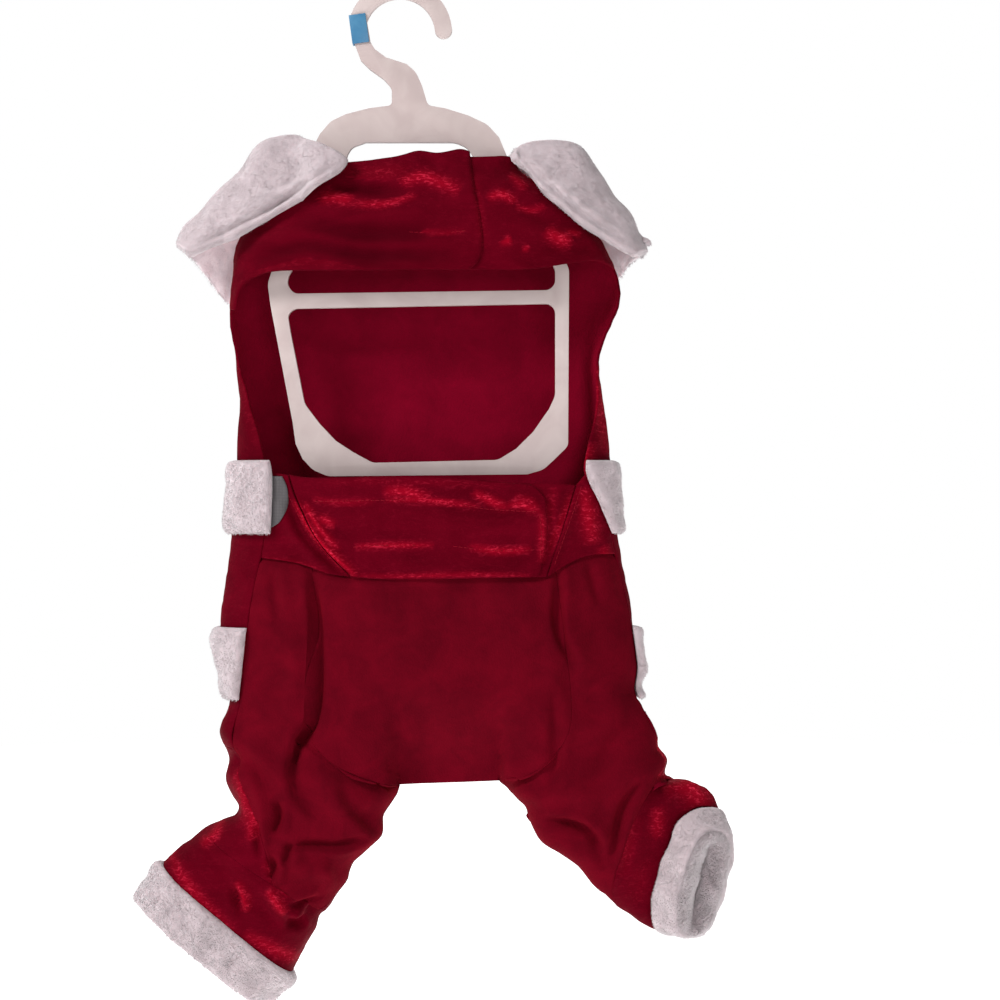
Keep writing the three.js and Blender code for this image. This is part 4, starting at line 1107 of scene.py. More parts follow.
# Lighter than the knit: partly the reverse's own tone, partly painted light that makes up for the shade
# inside the coat.
WRONG_SIDE = BrushedKnit("velvet_wrong_side", low="#70021c", high="#7c0320")
PLUSH = Plush("polyester_plush_pile", scatter=0.5)
BACKING = Plush("polyester_plush_backing", low="#b9aaae", high="#cdbec2", scatter=0.7)
# A lighter copy of the plush: painted light for the collar's undersides, which lie in shade.
PLUSH_PAINTED_LIGHT = Plush("polyester_plush_painted_light", low="#e4d2d7", high="#f8eaed", scatter=0.7)
HANGER_PLASTIC = Moulded("polystyrene_moulded_white")
CLIP_PLASTIC = Moulded("polystyrene_moulded_blue", low="#346f98", high="#4784a8", roughness=0.35)
LABEL_CLOTH = WovenLabel("label_woven_grey")
THREAD = SewingThread("polyester_thread_red")


class Held(Enum):
    """How a sheet of cloth is held."""

    HUNG = "hung"
    FOLDED = "folded"
    STRETCHED = "stretched"


def settle(piece: bpy.types.Object, slot: str, *nodes: str) -> bpy.types.Object:
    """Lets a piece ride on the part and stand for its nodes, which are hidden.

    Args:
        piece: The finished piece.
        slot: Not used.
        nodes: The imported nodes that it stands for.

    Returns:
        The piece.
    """
    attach(piece, BODY_NAME)
    if nodes:
        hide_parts(*nodes)
    LOG.info("%s: %d faces", piece.name, len(piece.data.polygons))
    return piece


# ---------------------------------------------------------------- pile
def spokes(way: np.ndarray, guide: np.ndarray, angle: np.ndarray) -> np.ndarray:
    """Unit spokes round each way at the angles, the first one square to the way and its guide."""
    side = np.cross(way, guide)
    side /= np.linalg.norm(side, axis=1, keepdims=True)
    other = np.cross(way, side)
    return np.cos(angle)[None, :, None] * side[:, None] + np.sin(angle)[None, :, None] * other[:, None]


@dataclass(frozen=True)
class Pile:
    """Plush pile: fine short tufts, each a three-sided spike.

    Attributes:
        length: Tuft length in mm.
        width: Width at the root in mm.
        density: Tufts for each square mm.
        comb: The way that the pile lies, added to the normal.
        wave: How much neighbours lean together.
    """

    length: float
    width: float
    density: float
    comb: tuple[float, float, float]
    wave: float

    def grow(self, name: str, skins: list[Skin], seed: int,
             keep: Callable[[np.ndarray], np.ndarray] | None = None,
             finish: Finish = PLUSH) -> bpy.types.Object:
        """Sows tufts evenly over skins and joins them in one mesh.

        A tuft has a root ring and a tip. Its way is the normal plus the comb, plus slow waves that
        make neighbours lean together, plus a small random lean.

        Args:
            name: The piece's name.
            skins: The grids that carry the pile.
            seed: Seeds the sowing.
            keep: Tells which places carry pile.
            finish: The tufts' finish.

        Returns:
            The object.
        """
        random = np.random.default_rng(seed)
        sown = [self.sow(skin, random) for skin in skins]
        root, normal = (np.concatenate([pair[k] for pair in sown]) for k in (0, 1))
        if keep is not None:
            kept = keep(root)
            root, normal = root[kept], normal[kept]
        count = len(root)
        waves = np.stack([soft_noise(root, 9.0, seed + k) for k in range(3)], axis=-1)
        stray = random.normal(scale=TUFT_STRAY, size=(count, 3))
        way = normal + np.array(self.comb) + self.wave * waves + stray
        way /= np.linalg.norm(way, axis=1, keepdims=True)
        way += normal * np.maximum(TUFT_RISE - (way * normal).sum(1, keepdims=True), 0)
        length = self.length * (random.uniform(0.7, 1.1, count) + 0.12 * soft_noise(root, 11, seed + 7))
        spread = spokes(way, random.normal(size=(count, 3)), np.radians([0, 120, 240]))
        tip = root + length[:, None] * way
        half = self.width / 2 * random.uniform(0.75, 1.25, count)[:, None, None]
        low = (root - TUFT_SUNK * normal)[:, None] + half * spread
        vertices = np.concatenate([low, tip[:, None]], axis=1).reshape(-1, 3)
        shape = np.array([(0, 1, 3), (1, 2, 3), (2, 0, 3), (0, 2, 1)])
        faces = (shape[None] + 4 * np.arange(count)[:, None, None]).reshape(-1, 3)
        return new_object(name, vertices, [faces], [finish])

    def sow(self, skin: Skin, random: np.random.Generator) -> tuple[np.ndarray, np.ndarray]:
        """Random places on a skin, as many in each quad as its area asks for, with normals."""
        grid, normals = skin.points, skin.normals
        if skin.ring:
            grid = np.concatenate([grid, grid[:, :1]], axis=1)
            normals = np.concatenate([normals, normals[:, :1]], axis=1)
        diagonal = np.cross(grid[1:, 1:] - grid[:-1, :-1], grid[1:, :-1] - grid[:-1, 1:])
        area = np.linalg.norm(diagonal, axis=-1).ravel() / 2
        count = int(area.sum() * self.density)
        quad = random.choice(len(area), count, p=area / area.sum())
        i, j = np.divmod(quad, grid.shape[1] - 1)
        v, u = random.uniform(size=(2, count, 1))
        root, normal = ((1 - v) * ((1 - u) * g[i, j] + u * g[i, j + 1])
                        + v * ((1 - u) * g[i + 1, j] + u * g[i + 1, j + 1]) for g in (grid, normals))
        return root, normal / np.linalg.norm(normal, axis=1, keepdims=True)


# ---------------------------------------------------------------- the costume
Height = Callable[[np.ndarray], np.ndarray]  # gives a height at each x


@dataclass
class CoatBack:
    """Velvet back panel from the nape to the hem, and the seat panel below it."""

    top: Line = ((-52, -95.5), (-26, -98), (5, -100), (36, -98.5), (62.5, -95.5))
    hem: float = -352.0
    leg_gap: float = 0.05  # between the seat's lower edge and the legs
    cols: int = 120
    crush: float = 0.35

    @staticmethod
    def grid(top: Height, bottom: Height, rows: int, cols: int,
             overhang: float = 0.0) -> tuple[np.ndarray, np.ndarray]:
        """Points and normals on the back panels between two height lines.

        Args:
            top: Function of x that gives the upper height.
            bottom: Function of x that gives the lower height.
            rows: Steps down.
            cols: Steps across, right edge to left edge.
            overhang: Degrees by which the left edge reaches past the seam.

        Returns:
            Points and normals.
        """
        u, v = spacing(cols)[None, :], spacing(rows)[:, None]
        z = top(0 * u) + (bottom(0 * u) - top(0 * u)) * v
        for _ in range(5):  # the heights depend on x, which depends on the heights
            turn = [COAT_EDGES.read(COAT_EDGES.place(z), side) - half_seam(z) for side in ("right", "left")]
            phi = -turn[0] + (180 + turn[1] + turn[0] + overhang) * u
            x = FORM.point(phi, z)[..., 0]
            z = top(x) + (bottom(x) - top(x)) * v
        return FORM.point(phi, z), FORM.normals(phi, z)

    def build(self) -> None:
        """Makes both panels."""
        xs, zs = zip(*self.top)
        for name, top, bottom, rows in (
            ("coat_back", lambda x: np.interp(x, xs, zs), lambda x: self.hem + 0 * x, 84),
            ("seat_back", lambda x: self.hem - SEAM_LOOK + 0 * x,
             lambda x: FORM.lower_edge(x) + self.leg_gap, 34),
        ):
            skin = dressed(*self.grid(top, bottom, rows, self.cols), self.crush)
            piece = wall(f"{name}_velvet", skin, -CLOTH, 0.0, [VELVET, WRONG_SIDE], SEWN)
            settle(piece, "velvet", name)


@dataclass
class FurBands:
    """The two plush bands across the back, with their ends turned to the front."""

    waist: tuple[float, float] = (-254.0, -294.0)
    hem: tuple[float, float] = (-345.0, -384.5)
    backing: float = 5.2  # mm from the coat to the backing's face
    overhang: float = 3.6  # degrees by which the waist band laps over the label
    label_lift: float = 1.0  # mm that it is raised there
    label_cols: int = 7  # columns that are raised
    rows: int = 20
    cols: int = 120
    pile: Pile = Pile(length=1.3, width=0.45, density=2.1, comb=(0, 0, -1.4), wave=0.15)
    rounding: Rounding = Rounding(3.6, 3.6, 3.6, 3.6, root=0.15, least=0.2)

    def build(self) -> None:
        """Makes the backings and their pile."""
        at_end = np.arange(self.cols + 1) > self.cols - self.label_cols
        for name, (top, low), overhang, lift, seed in (
            ("waist_fur_band", self.waist, self.overhang, self.label_lift, 21),
            ("hem_fur_band", self.hem, 0.0, 0.0, 22),
        ):
            grid = CoatBack.grid(lambda x, t=top: t + 0 * x, lambda x, b=low: b + 0 * x,
                                 self.rows, self.cols, overhang)
            skin = dressed(*grid, 0.0)
            face = self.backing + 0.6 * soft_noise(skin.points, 15, seed)
            low_side = BAND_LIFT + lift * at_end
            piece = wall(f"{name}_backing", skin, low_side, face, [BACKING], self.rounding)
            pile = self.pile.grow(f"{name}_pile", [outer_face(skin, face, low_side, self.rounding)], seed)
            settle(piece, "plush", name)
            settle(pile, "plush")


def lap(skin: Skin, start: float, end: float) -> np.ndarray:
    """How far a half that lies over another one is lifted, rising from start to end in x."""
    return (CLOTH + SEAM) * smooth((skin.points[..., 0] - start) / (end - start))


@dataclass
class ChestBand:
    """Two velvet halves across the chest; the left one closes over the right one."""

    lap_from: float = -12.0
    lap_to: float = 3.0
    crush: float = 0.4
    flap_edge: Rounding = Rounding(1.2, 1.2, 0.5, 2.6, root=0.1, least=0.25)
    under_edge: Rounding = Rounding(right=0.5, least=0.6)

    def build(self) -> None:
        """Makes both halves."""
        left = {
            "top": front_line(((-55.4, -95.2), (-30, -92), (0, -88.6), (12, -85.6), (22, -86.8),
                               (33, -84.6), (38.5, -85.8))),
            "bottom": front_line(((-90.5, -172), (-86, -158.5), (-76.5, -153.5), (-64, -151.3), (-30, -151.5),
                                  (38, -151.8))),
            "left": np.concatenate([side_line("left", -95.2, -171),
                                    front_line(((-90.8, -171.8), (-90.5, -172)))]),
            "right": front_line(((38.5, -85.8), (40.7, -105), (44, -121.5), (45.6, -138), (43, -147),
                                 (38, -151.8))),
        }
        right = {
            "top": front_line(((5, -88.6), (41, -88.5), (55, -87.5), (60.3, -88.5), (66, -95.2))),
            "bottom": front_line(((5, -151.3), (45, -151.3), (70, -150.5), (88, -147.5), (105, -145.5),
                                  (117.5, -149))),
            "left": front_line(((5, -88.6), (5, -120), (5, -151.3))),
            "right": side_line("right", -95.2, -149),
        }
        for name, edges, cols in (("chest_band_left", left, 76), ("chest_band_right", right, 64)):
            skin = dressed(*front_patch(edges, 48, cols), self.crush)
            lift = lap(skin, self.lap_from, self.lap_to) if edges is left else 0.0
            edge = self.flap_edge if edges is left else self.under_edge
            piece = wall(f"{name}_velvet", skin, lift - CLOTH, lift, [VELVET, WRONG_SIDE], edge)
            settle(piece, "velvet", name)


def polyline_edges(**rows: Line) -> dict[str, np.ndarray]:
    """Edge lines of a front panel from rows of x and z."""
    return {name: front_line(line) for name, line in rows.items()}


@dataclass
class BellyStrap:
    """The strap's two velvet halves and the side yokes that they are sewn to."""

    lap_from: float = 14.0
    lap_to: float = 28.0
    crush: float = 0.5
    flap_edge: Rounding = Rounding(1.2, 0.8, 0.5, 2.6, root=0.1, least=0.3)
    edge: Rounding = Rounding(1.0, 0.8, 0.5, 0.5, root=0.5, least=0.7)

    def build(self) -> None:
        """Makes the two yokes and the two halves of the strap."""
        yoke_left = polyline_edges(
            top=((-71.2, -260.5), (-59.8, -262)),
            bottom=((-74.4, -307), (-55, -309.5), (-38.5, -315), (-26, -317)),
            right=((-59.8, -262), (-55, -276), (-42, -300), (-26, -317)),
        )
        yoke_left["left"] = side_line("left", -260.5, -307)
        yoke_right = polyline_edges(
            top=((96.6, -267.5), (101.3, -262)),
            bottom=((80.5, -317), (99, -306.5), (117.2, -304.8)),
            left=((96.6, -267.5), (88.5, -293), (80.5, -317)),
        )
        yoke_right["right"] = side_line("right", -262, -304.8)
        strap_left = polyline_edges(
            top=((-59.3, -261.8), (-44, -263.5), (11, -262.5), (60.5, -266.2), (73, -268), (79.6, -275)),
            bottom=((-25.2, -317), (0, -318.5), (70, -317)),
            left=((-59.3, -261.8), (-54.4, -276), (-41.4, -300), (-25.2, -317)),
            right=((79.6, -275), (81, -292), (78, -308), (75.6, -316.4), (70, -317)),
        )
        strap_right = polyline_edges(
            top=((30, -266), (80, -266.5), (96, -267.5)),
            bottom=((30, -317.5), (79.9, -317.3)),
            left=((30, -266), (30, -317.5)),
            right=((96, -267.5), (88, -293), (79.9, -317.3)),
        )
        for name, edges, cols in (
            ("side_yoke_left", yoke_left, 22), ("side_yoke_right", yoke_right, 22),
            ("belly_strap_left", strap_left, 84), ("belly_strap_right", strap_right, 44),
        ):
            skin = dressed(*front_patch(edges, 36, cols), self.crush)
            lift = lap(skin, self.lap_from, self.lap_to) if edges is strap_left else 0.0
            edge = self.flap_edge if edges is strap_left else self.edge
            piece = wall(f"{name}_velvet", skin, lift - CLOTH, lift, [VELVET, WRONG_SIDE], edge)
            settle(piece, "velvet", name)


@dataclass
class SideLabel:
    """Plain woven label on the left yoke."""

    thick: float = 0.8

    def build(self) -> None:
        """Makes the label."""
        edges = polyline_edges(
            top=((-70, -262.5), (-62.5, -262.8)),
            bottom=((-71.2, -291.5), (-67.5, -290)),
            left=((-70, -262.5), (-71.2, -291.5)),
            right=((-62.5, -262.8), (-59.6, -270), (-60, -280), (-63.5, -287), (-67.5, -290)),
        )
        skin = dressed(*front_patch(edges, 18, 8), 0.0)
        rounding = Rounding(0.4, 0.4, 0.4, 0.4)
        piece = wall("side_label_woven", skin, SEAM, SEAM + self.thick, [LABEL_CLOTH], rounding)
        settle(piece, "label", "side_label")


SEAM_LEFT = ((-46.8, -312), (-45.5, -350), (-50, -386), (-49, -402), (-38, -416), (-20, -426), (-1, -431.7))
SEAM_RIGHT = ((85.3, -311), (90, -350), (93.5, -380), (92.5, -400), (83, -415), (70, -424.5), (54.5, -429.7))


def shifted(rows: Line, dx: float) -> Line:
    """Rows of x and z moved sideways."""
    return tuple((x + dx, z) for x, z in rows)


@dataclass
class Trousers:
    """Knit belly panel and leg fronts, velvet leg backs and boots, and plush cuffs."""

    crush: float = 0.35
    ring_seam: float = 0.1  # degrees left open at each lengthways seam of a leg
    sewn: Rounding = SEWN
    backing: float = 4.8  # mm from the cuff's lining line to the backing's face
    pile: Pile = Pile(length=1.4, width=0.45, density=2.5, comb=(0, 0, -1.2), wave=0.15)
    lining_left: Pile = Pile(length=3.4, width=0.9, density=1.2, comb=(0, 0, -0.4), wave=0.2)
    lining_right: Pile = Pile(length=1.8, width=0.55, density=4.0, comb=(0.1, -0.2, -0.7), wave=0.25)
    mouth_depth: float = 5.5  # mm that the fur in the right cuff's mouth is sunk at its middle
    mouth_slit: float = 0.06  # share of the mouth's width that stays open between the fur faces
    mouth_rim: tuple[float, float] = (1.0, 0.9)  # mm that the fur starts outside and short of the rim
    mouth_length: float = 0.62  # share of the mouth's length that the slit takes
    mouth_billow: float = 3.2  # mm that the fur swells between rim and slit
    mouth_lump: float = 0.6  # mm
    join_above: int = 13  # rows of a leg front that are evened above its join with the rings
    join_below: int = 11
    join_passes: int = 60
    blend: tuple[int, int] = (4, 14)  # rows above the join where the normals start to blend, and how many
    front_cols: int = 52
    cuff_rounding: Rounding = Rounding(2.0, 3.0, 0, 0, root=0.4, least=0.2)

    def build(self) -> None:
        """Makes the belly panel and both legs."""
        edges = polyline_edges(
            top=(SEAM_LEFT[0], (-20, -312), (40, -312), SEAM_RIGHT[0]),
            bottom=(SEAM_LEFT[-1], SEAM_RIGHT[-1]),
            left=shifted(SEAM_LEFT, SEAM_LOOK / 2),
            right=shifted(SEAM_RIGHT, -SEAM_LOOK / 2),
        )
        skin = dressed(*front_patch(edges, 68, 76), 0.0)
        sunk = self.tuck(skin)
        piece = wall("belly_panel_knit", skin, -CLOTH - sunk, -sunk, [KNIT], self.sewn)
        settle(piece, "knit", "belly_panel")
        self.leg("left", LEG_LEFT, BOOT_LEFT, CUFF_LEFT, SEAM_LEFT, -SEAM_LOOK / 2,
                 side_line("left", -304, -400), (-57, -306.5), 41)
        self.leg("right", LEG_RIGHT, BOOT_RIGHT, CUFF_RIGHT, SEAM_RIGHT, SEAM_LOOK / 2,
                 side_line("right", -301.5, -398), (99, -303.5), 43)

    @staticmethod
    def tuck(skin: Skin) -> np.ndarray:
        """How far the knit's upper edge is sunk, to lie under the velvet that is sewn over it."""
        x, z = skin.points[..., 0], skin.points[..., 2]
        line = np.interp(x, (-74.4, -55, -38.5, -26, 0, 70, 80, 99, 117.2),
                         (-307, -309.5, -315, -317, -318.5, -317, -317, -306.5, -304.8))
        return (CLOTH + SEAM) * smooth((z - line + 3.4) / 2.8)

    def mouth(self, fur: Skin) -> Skin:
        """The turned-in end of the right cuff: its fur faces nearly meet across the open mouth.

        Rings run from the cuff's rim to a narrow slit along the mouth's long axis, sunk as a
        valley with soft lumps.

        Args:
            fur: The cuff's grid.

        Returns:
            A grid facing out of the mouth.
        """
        out = fur.points[-1].mean(0) - fur.points[0].mean(0)
        out /= np.linalg.norm(out)
        outward, short = self.mouth_rim
        rim = fur.points[-1] + fur.normals[-1] * outward - out * short
        middle = rim.mean(0)
        long_axis = np.linalg.svd(rim - middle)[2][0]
        line = middle + ((rim - middle) @ long_axis)[:, None] * self.mouth_length * long_axis
        line += self.mouth_slit * (rim - line)
        share = spacing(16)[:, None, None]
        points = rim[None] * (1 - share) + line[None] * share
        inward = share[..., 0]
        sunk = self.mouth_depth * smooth(inward) - self.mouth_billow * np.sin(math.pi * inward) ** 0.6
        lumps = self.mouth_lump * soft_noise(points, 15, 61) * np.minimum(4 * inward, 1)
        points = points + out * (TUFT_SUNK - sunk - lumps)[..., None]
        return Skin(points, grid_normals(points, out, True), 0 * points[..., 0], True)

    def leg(self, side: str, leg: Table, boot: Table, cuff: Table,
            seam: Line, dx: float,
            outer: np.ndarray, top_middle: tuple[float, float], seed: int) -> None:
        """Makes one leg.

        Args:
            side: left or right, as seen from the front.
            leg: Rings of the leg.
            boot: Rings of the boot.
            cuff: Rings of the cuff.
            seam: Rows of x and z of the seam with the belly panel.
            dx: Which way the seam's gap goes.
            outer: The outer seam, rows of degrees and height.
            top_middle: A point of the knit front's top edge.
            seed: Seeds the pile.
        """
        spans = (lambda level: leg.read(level, "knit_from"), lambda level: leg.read(level, "knit_to"))
        first, last = (span(np.zeros(1)) for span in spans)
        theta = first + (last - first) * np.linspace(0, 1, 33)
        join = ring_point(leg, theta, np.zeros(33))
        bottom = np.stack([FORM.angle(join[:, 0], join[:, 2]), join[:, 2]], axis=-1)
        inner = front_line((*shifted(seam[:-1], dx), (join[-1, 0], join[-1, 2])), 10)
        start = FORM.point(outer[:1, 0], outer[:1, 1])[0]
        top = front_line(((start[0], start[2]), top_middle, (seam[0][0] + dx, seam[0][1])))
        edges = {"top": top, "bottom": bottom, "right": inner,
                 "left": np.concatenate([outer, bottom[:1]])}
        u = spacing(self.front_cols)
        grid = coons(edges, np.linspace(0, 1, 57), u)
        body = FORM.point(grid[..., 0], grid[..., 1])
        level = np.linspace(0, len(leg.rows) - 1.0, 50)[:, None]
        theta = spans[0](level) + (spans[1](level) - spans[0](level)) * u[None, :]
        rings = ring_point(leg, theta, level + 0 * theta)
        points = np.concatenate([body, rings[1:]])
        start, end = len(body) - self.join_above, len(body) + self.join_below
        for _ in range(self.join_passes):
            near = points[start - 1:end + 1]
            points[start:end, 1:-1] += 0.5 * ((near[:-2] + near[2:]) / 2 - near[1:-1])[:, 1:-1]
        normals = grid_normals(points, np.array([0.0, -1.0, 0.0]))
        plain = FORM.normals(grid[..., 0], grid[..., 1])
        skipped, rows = self.blend
        share = smooth((len(body) - skipped - np.arange(len(body))) / rows)[:, None, None]
        normals[:len(body)] = normals[:len(body)] * (1 - share) + plain * share
        normals /= np.linalg.norm(normals, axis=-1, keepdims=True)
        front = dressed(points, normals, 0.0)
        sunk = self.tuck(front)
        piece = wall(f"leg_front_{side}_knit", front, -CLOTH - sunk, -sunk, [KNIT], self.sewn)
        settle(piece, "knit", f"leg_front_{side}")

        back_spans = (lambda lv: leg.read(lv, "knit_to") + self.ring_seam,
                      lambda lv: leg.read(lv, "knit_from") + 360 - self.ring_seam)
        back = dressed(*ring_grid(leg, back_spans, 50, 70), self.crush)
        piece = wall(f"leg_back_{side}_velvet", back, -CLOTH, 0.0, [VELVET, WRONG_SIDE], self.sewn)
        settle(piece, "velvet", f"leg_back_{side}")

        points, normals = ring_grid(boot, None, 34, 128)
        tube = dressed(points, normals, self.crush, ring=True)
        piece = wall(f"boot_{side}_velvet", tube, -CLOTH, 0.0, [VELVET, WRONG_SIDE], self.sewn)
        settle(piece, "velvet", f"boot_{side}")

        points, normals = ring_grid(cuff, None, 22, 112)
        fur = dressed(points, normals, 0.0, ring=True)
        face = self.backing - CLOTH + 1.3 * soft_noise(points, 18, seed)
        backing = wall(f"cuff_{side}_backing", fur, -CLOTH, face, [BACKING], self.cuff_rounding)
        outside = outer_face(fur, face, -CLOTH, self.cuff_rounding)
        inside = Skin(fur.points - fur.normals * CLOTH, -fur.normals, fur.painted_light_amount, True)
        if side == "right":
            inside = self.mouth(fur)
            filler = wall("cuff_right_turned_in", inside, -1.4, 0.0, [BACKING], Rounding(0, 0, 0, 0))
            settle(filler, "plush")
        pile = self.pile.grow(f"cuff_{side}_pile", [outside], seed)
        sower = self.lining_left if side == "left" else self.lining_right
        lining = sower.grow(f"cuff_{side}_pile_inside", [inside], seed + 1)
        settle(backing, "plush", f"cuff_{side}")
        settle(pile, "plush")
        settle(lining, "plush")


RIDGE_LEFT = ((-119.9, -137), (-117.7, -130.4), (-113.9, -124.9), (-104.5, -115), (-95.7, -105.6),
              (-87.5, -98.5), (-80.9, -88.6), (-74.8, -80.3), (-68.2, -77.5), (-58.3, -77), (-48.3, -80.6))
RIDGE_RIGHT = ((62.6, -84.7), (72, -81), (87.5, -79.8), (97.4, -82.5), (105, -94), (113.9, -106.7),
               (124.9, -120.5), (134.2, -132), (135.3, -135.3), (133, -141.4))
COLLAR_FOLDS = (
    Fold(((-84, -124), (-63, -114), (-47, -109)), 2.4, 1.3),
    Fold(((-76, -108), (-62, -105), (-51, -100)), 2.4, 1.0),
    Fold(((-112, -139), (-96, -132), (-72, -119), (-50, -107), (-36, -97)), 1.7, 1.9),
    Fold(((-100, -122), (-86, -112), (-74, -100)), 4, 0.8),
    Fold(((68, -92), (80, -104), (95, -117), (112, -130), (124, -137)), 1.7, 1.7),
    Fold(((98, -113), (108, -118), (118, -125)), 2.6, 1.1),
    Fold(((84, -90), (96, -98), (104, -108)), 3.4, 0.8),
    Fold(((-112, -146), (-104, -156), (-92, -163)), 2.4, 1.6),
    Fold(((-60, -92), (-52, -94), (-42, -92)), 3, 0.8),
)


@dataclass
class Collar:
    """Plush collar: two front wings and a back, meeting along the shoulder ridges."""

    roll_depth: float = 15.0
    roll_reach: float = 13.0
    neck_gap: float = 2.7
    backing: float = 4.2
    pile: Pile = Pile(length=1.05, width=0.4, density=3.6, comb=(0, 0, -1.5), wave=0.15)
    back_pile: Pile = Pile(length=1.7, width=0.55, density=1.3, comb=(0, 0, -1.1), wave=0.3)
    rounding: Rounding = Rounding(3.2, 3.0, 2.6, 2.6, root=0.12, least=0.2)

    def depth(self, x: np.ndarray, z: np.ndarray, ridge: Line, back: bool) -> np.ndarray:
        """Distance of a layer from the hanger's plane.

        It rolls away from the ridge as depth (1 - e^(-drop / reach)), clears the hanger in the
        middle, and never sinks into the body.

        Args:
            x: Places across.
            z: Heights.
            ridge: Rows of x and z of the ridge.
            back: True for the back layer.

        Returns:
            Depths in mm.
        """
        line = np.array(sorted(ridge))
        drop = np.maximum(np.interp(x, line[:, 0], line[:, 1]) - z, 0)
        middle = 1 - smooth((np.abs(x - 5) - 48) / 14)
        roll = self.roll_depth * (1 - np.exp(-drop / self.roll_reach))
        lining = SEAM / 2 + (self.neck_gap + (9 if back else 8)) * middle
        left, right, front, rear = FORM.sizes(z)
        cosine = (x - (left + right) / 2) / ((right - left) / 2)
        oval = oval_depth(np.sqrt(np.clip(1 - cosine**2, 0, 1)))
        on_body = np.where((np.abs(cosine) < 1) & (z < -90),
                           (rear if back else front) * oval + 3 * SEAM + (0 if back else 1), 0)
        return np.maximum(roll + lining, on_body)

    @staticmethod
    def outside_body(places: np.ndarray) -> np.ndarray:
        """True for pile beyond the body's width."""
        left, right, _, _ = FORM.sizes(places[:, 2])
        return (places[:, 0] < left - 3) | (places[:, 0] > right + 3)

    def layer(self, name: str, edges: dict[str, Line], ridge: Line, rows: int, cols: int, back: bool,
              seed: int) -> None:
        """Makes one layer with its backing and pile."""
        lines = {key: rounded_line(line) for key, line in edges.items()}
        grid = coons(lines, spacing(rows), spacing(cols))
        x, z = grid[..., 0], grid[..., 1]
        depth = self.depth(x, z, ridge, back)
        for _ in range(3):
            inner = depth[1:-1, 1:-1]
            around = depth[:-2, 1:-1] + depth[2:, 1:-1] + depth[1:-1, :-2] + depth[1:-1, 2:]
            inner += 0.25 * (around - 4 * inner)
        way = 1.0 if back else -1.0
        points = np.stack([x, way * depth, z], axis=-1)
        normals = grid_normals(points, np.array([0.0, way, 0.0]))
        skin = Skin(points, normals, 0 * x)
        folds = fold_relief(x, z, COLLAR_FOLDS).height
        face = self.backing + 0.6 * soft_noise(points, 17, seed) + (0 if back else 1) * folds
        # The backing's inner faces wear the lighter plush, painted light where shade falls.
        piece = wall(f"{name}_backing", skin, 0.0, face, [BACKING, PLUSH_PAINTED_LIGHT], self.rounding)
        skins = [outer_face(skin, face, 0.0, self.rounding)]
        sower = self.back_pile if back else self.pile
        piles = [sower.grow(f"{name}_pile", skins, seed)]
        if back:
            sides = [Skin(points[:, part], -normals[:, part], 0 * x[:, part])
                     for part in (slice(0, 16), slice(cols - 15, cols + 1))]
            piles.append(self.pile.grow(f"{name}_pile_inside", sides, seed + 9, self.outside_body,
                                        PLUSH_PAINTED_LIGHT))
        settle(piece, "plush", name)
        for pile in piles:
            settle(pile, "plush")

    def build(self) -> None:
        """Makes the three layers."""
        self.layer("collar_front_left", {
            "top": (*RIDGE_LEFT, (-33.5, -87.5), (-27, -92)),
            "bottom": ((-113.9, -144), (-98.5, -137.5), (-88, -133.7), (-75.4, -126.5), (-64.4, -120.5),
                       (-54.5, -115), (-46.2, -109.5), (-40.7, -105), (-31.9, -99.6), (-28, -95)),
            "left": ((-119.9, -137), (-113.9, -144)), "right": ((-27, -92), (-28, -95)),
        }, RIDGE_LEFT, 34, 70, False, 51)
        self.layer("collar_front_right", {
            "top": ((60, -87.5), *RIDGE_RIGHT),
            "bottom": ((61, -91.3), (69.9, -97.9), (79.2, -110), (89.1, -118.3), (100, -127.6), (111, -134.2),
                       (118.8, -139.2), (127, -143.6)),
            "left": ((60, -87.5), (61, -91.3)), "right": ((133, -141.4), (127, -143.6)),
        }, RIDGE_RIGHT, 34, 64, False, 52)
        self.layer("collar_back", {
            "top": (*RIDGE_LEFT, (-33, -91.3), (-26.4, -96), (0, -99.6), (30, -98.5), (49.5, -93),
                    *RIDGE_RIGHT),
            "bottom": ((-85, -173.5), (-55, -180), (15, -183), (80, -176), (100, -167)),
            "left": ((-119.9, -137), (-113.9, -144), (-108.4, -151.3), (-101.8, -160.6), (-95.7, -166.7),
                     (-85, -173.5)),
            "right": ((133, -141.4), (127, -144.7), (122, -151.8), (115, -158), (100, -167)),
        }, (*RIDGE_LEFT, (-30, -92), (5, -99.6), (45, -94), *RIDGE_RIGHT), 48, 130, True, 53)


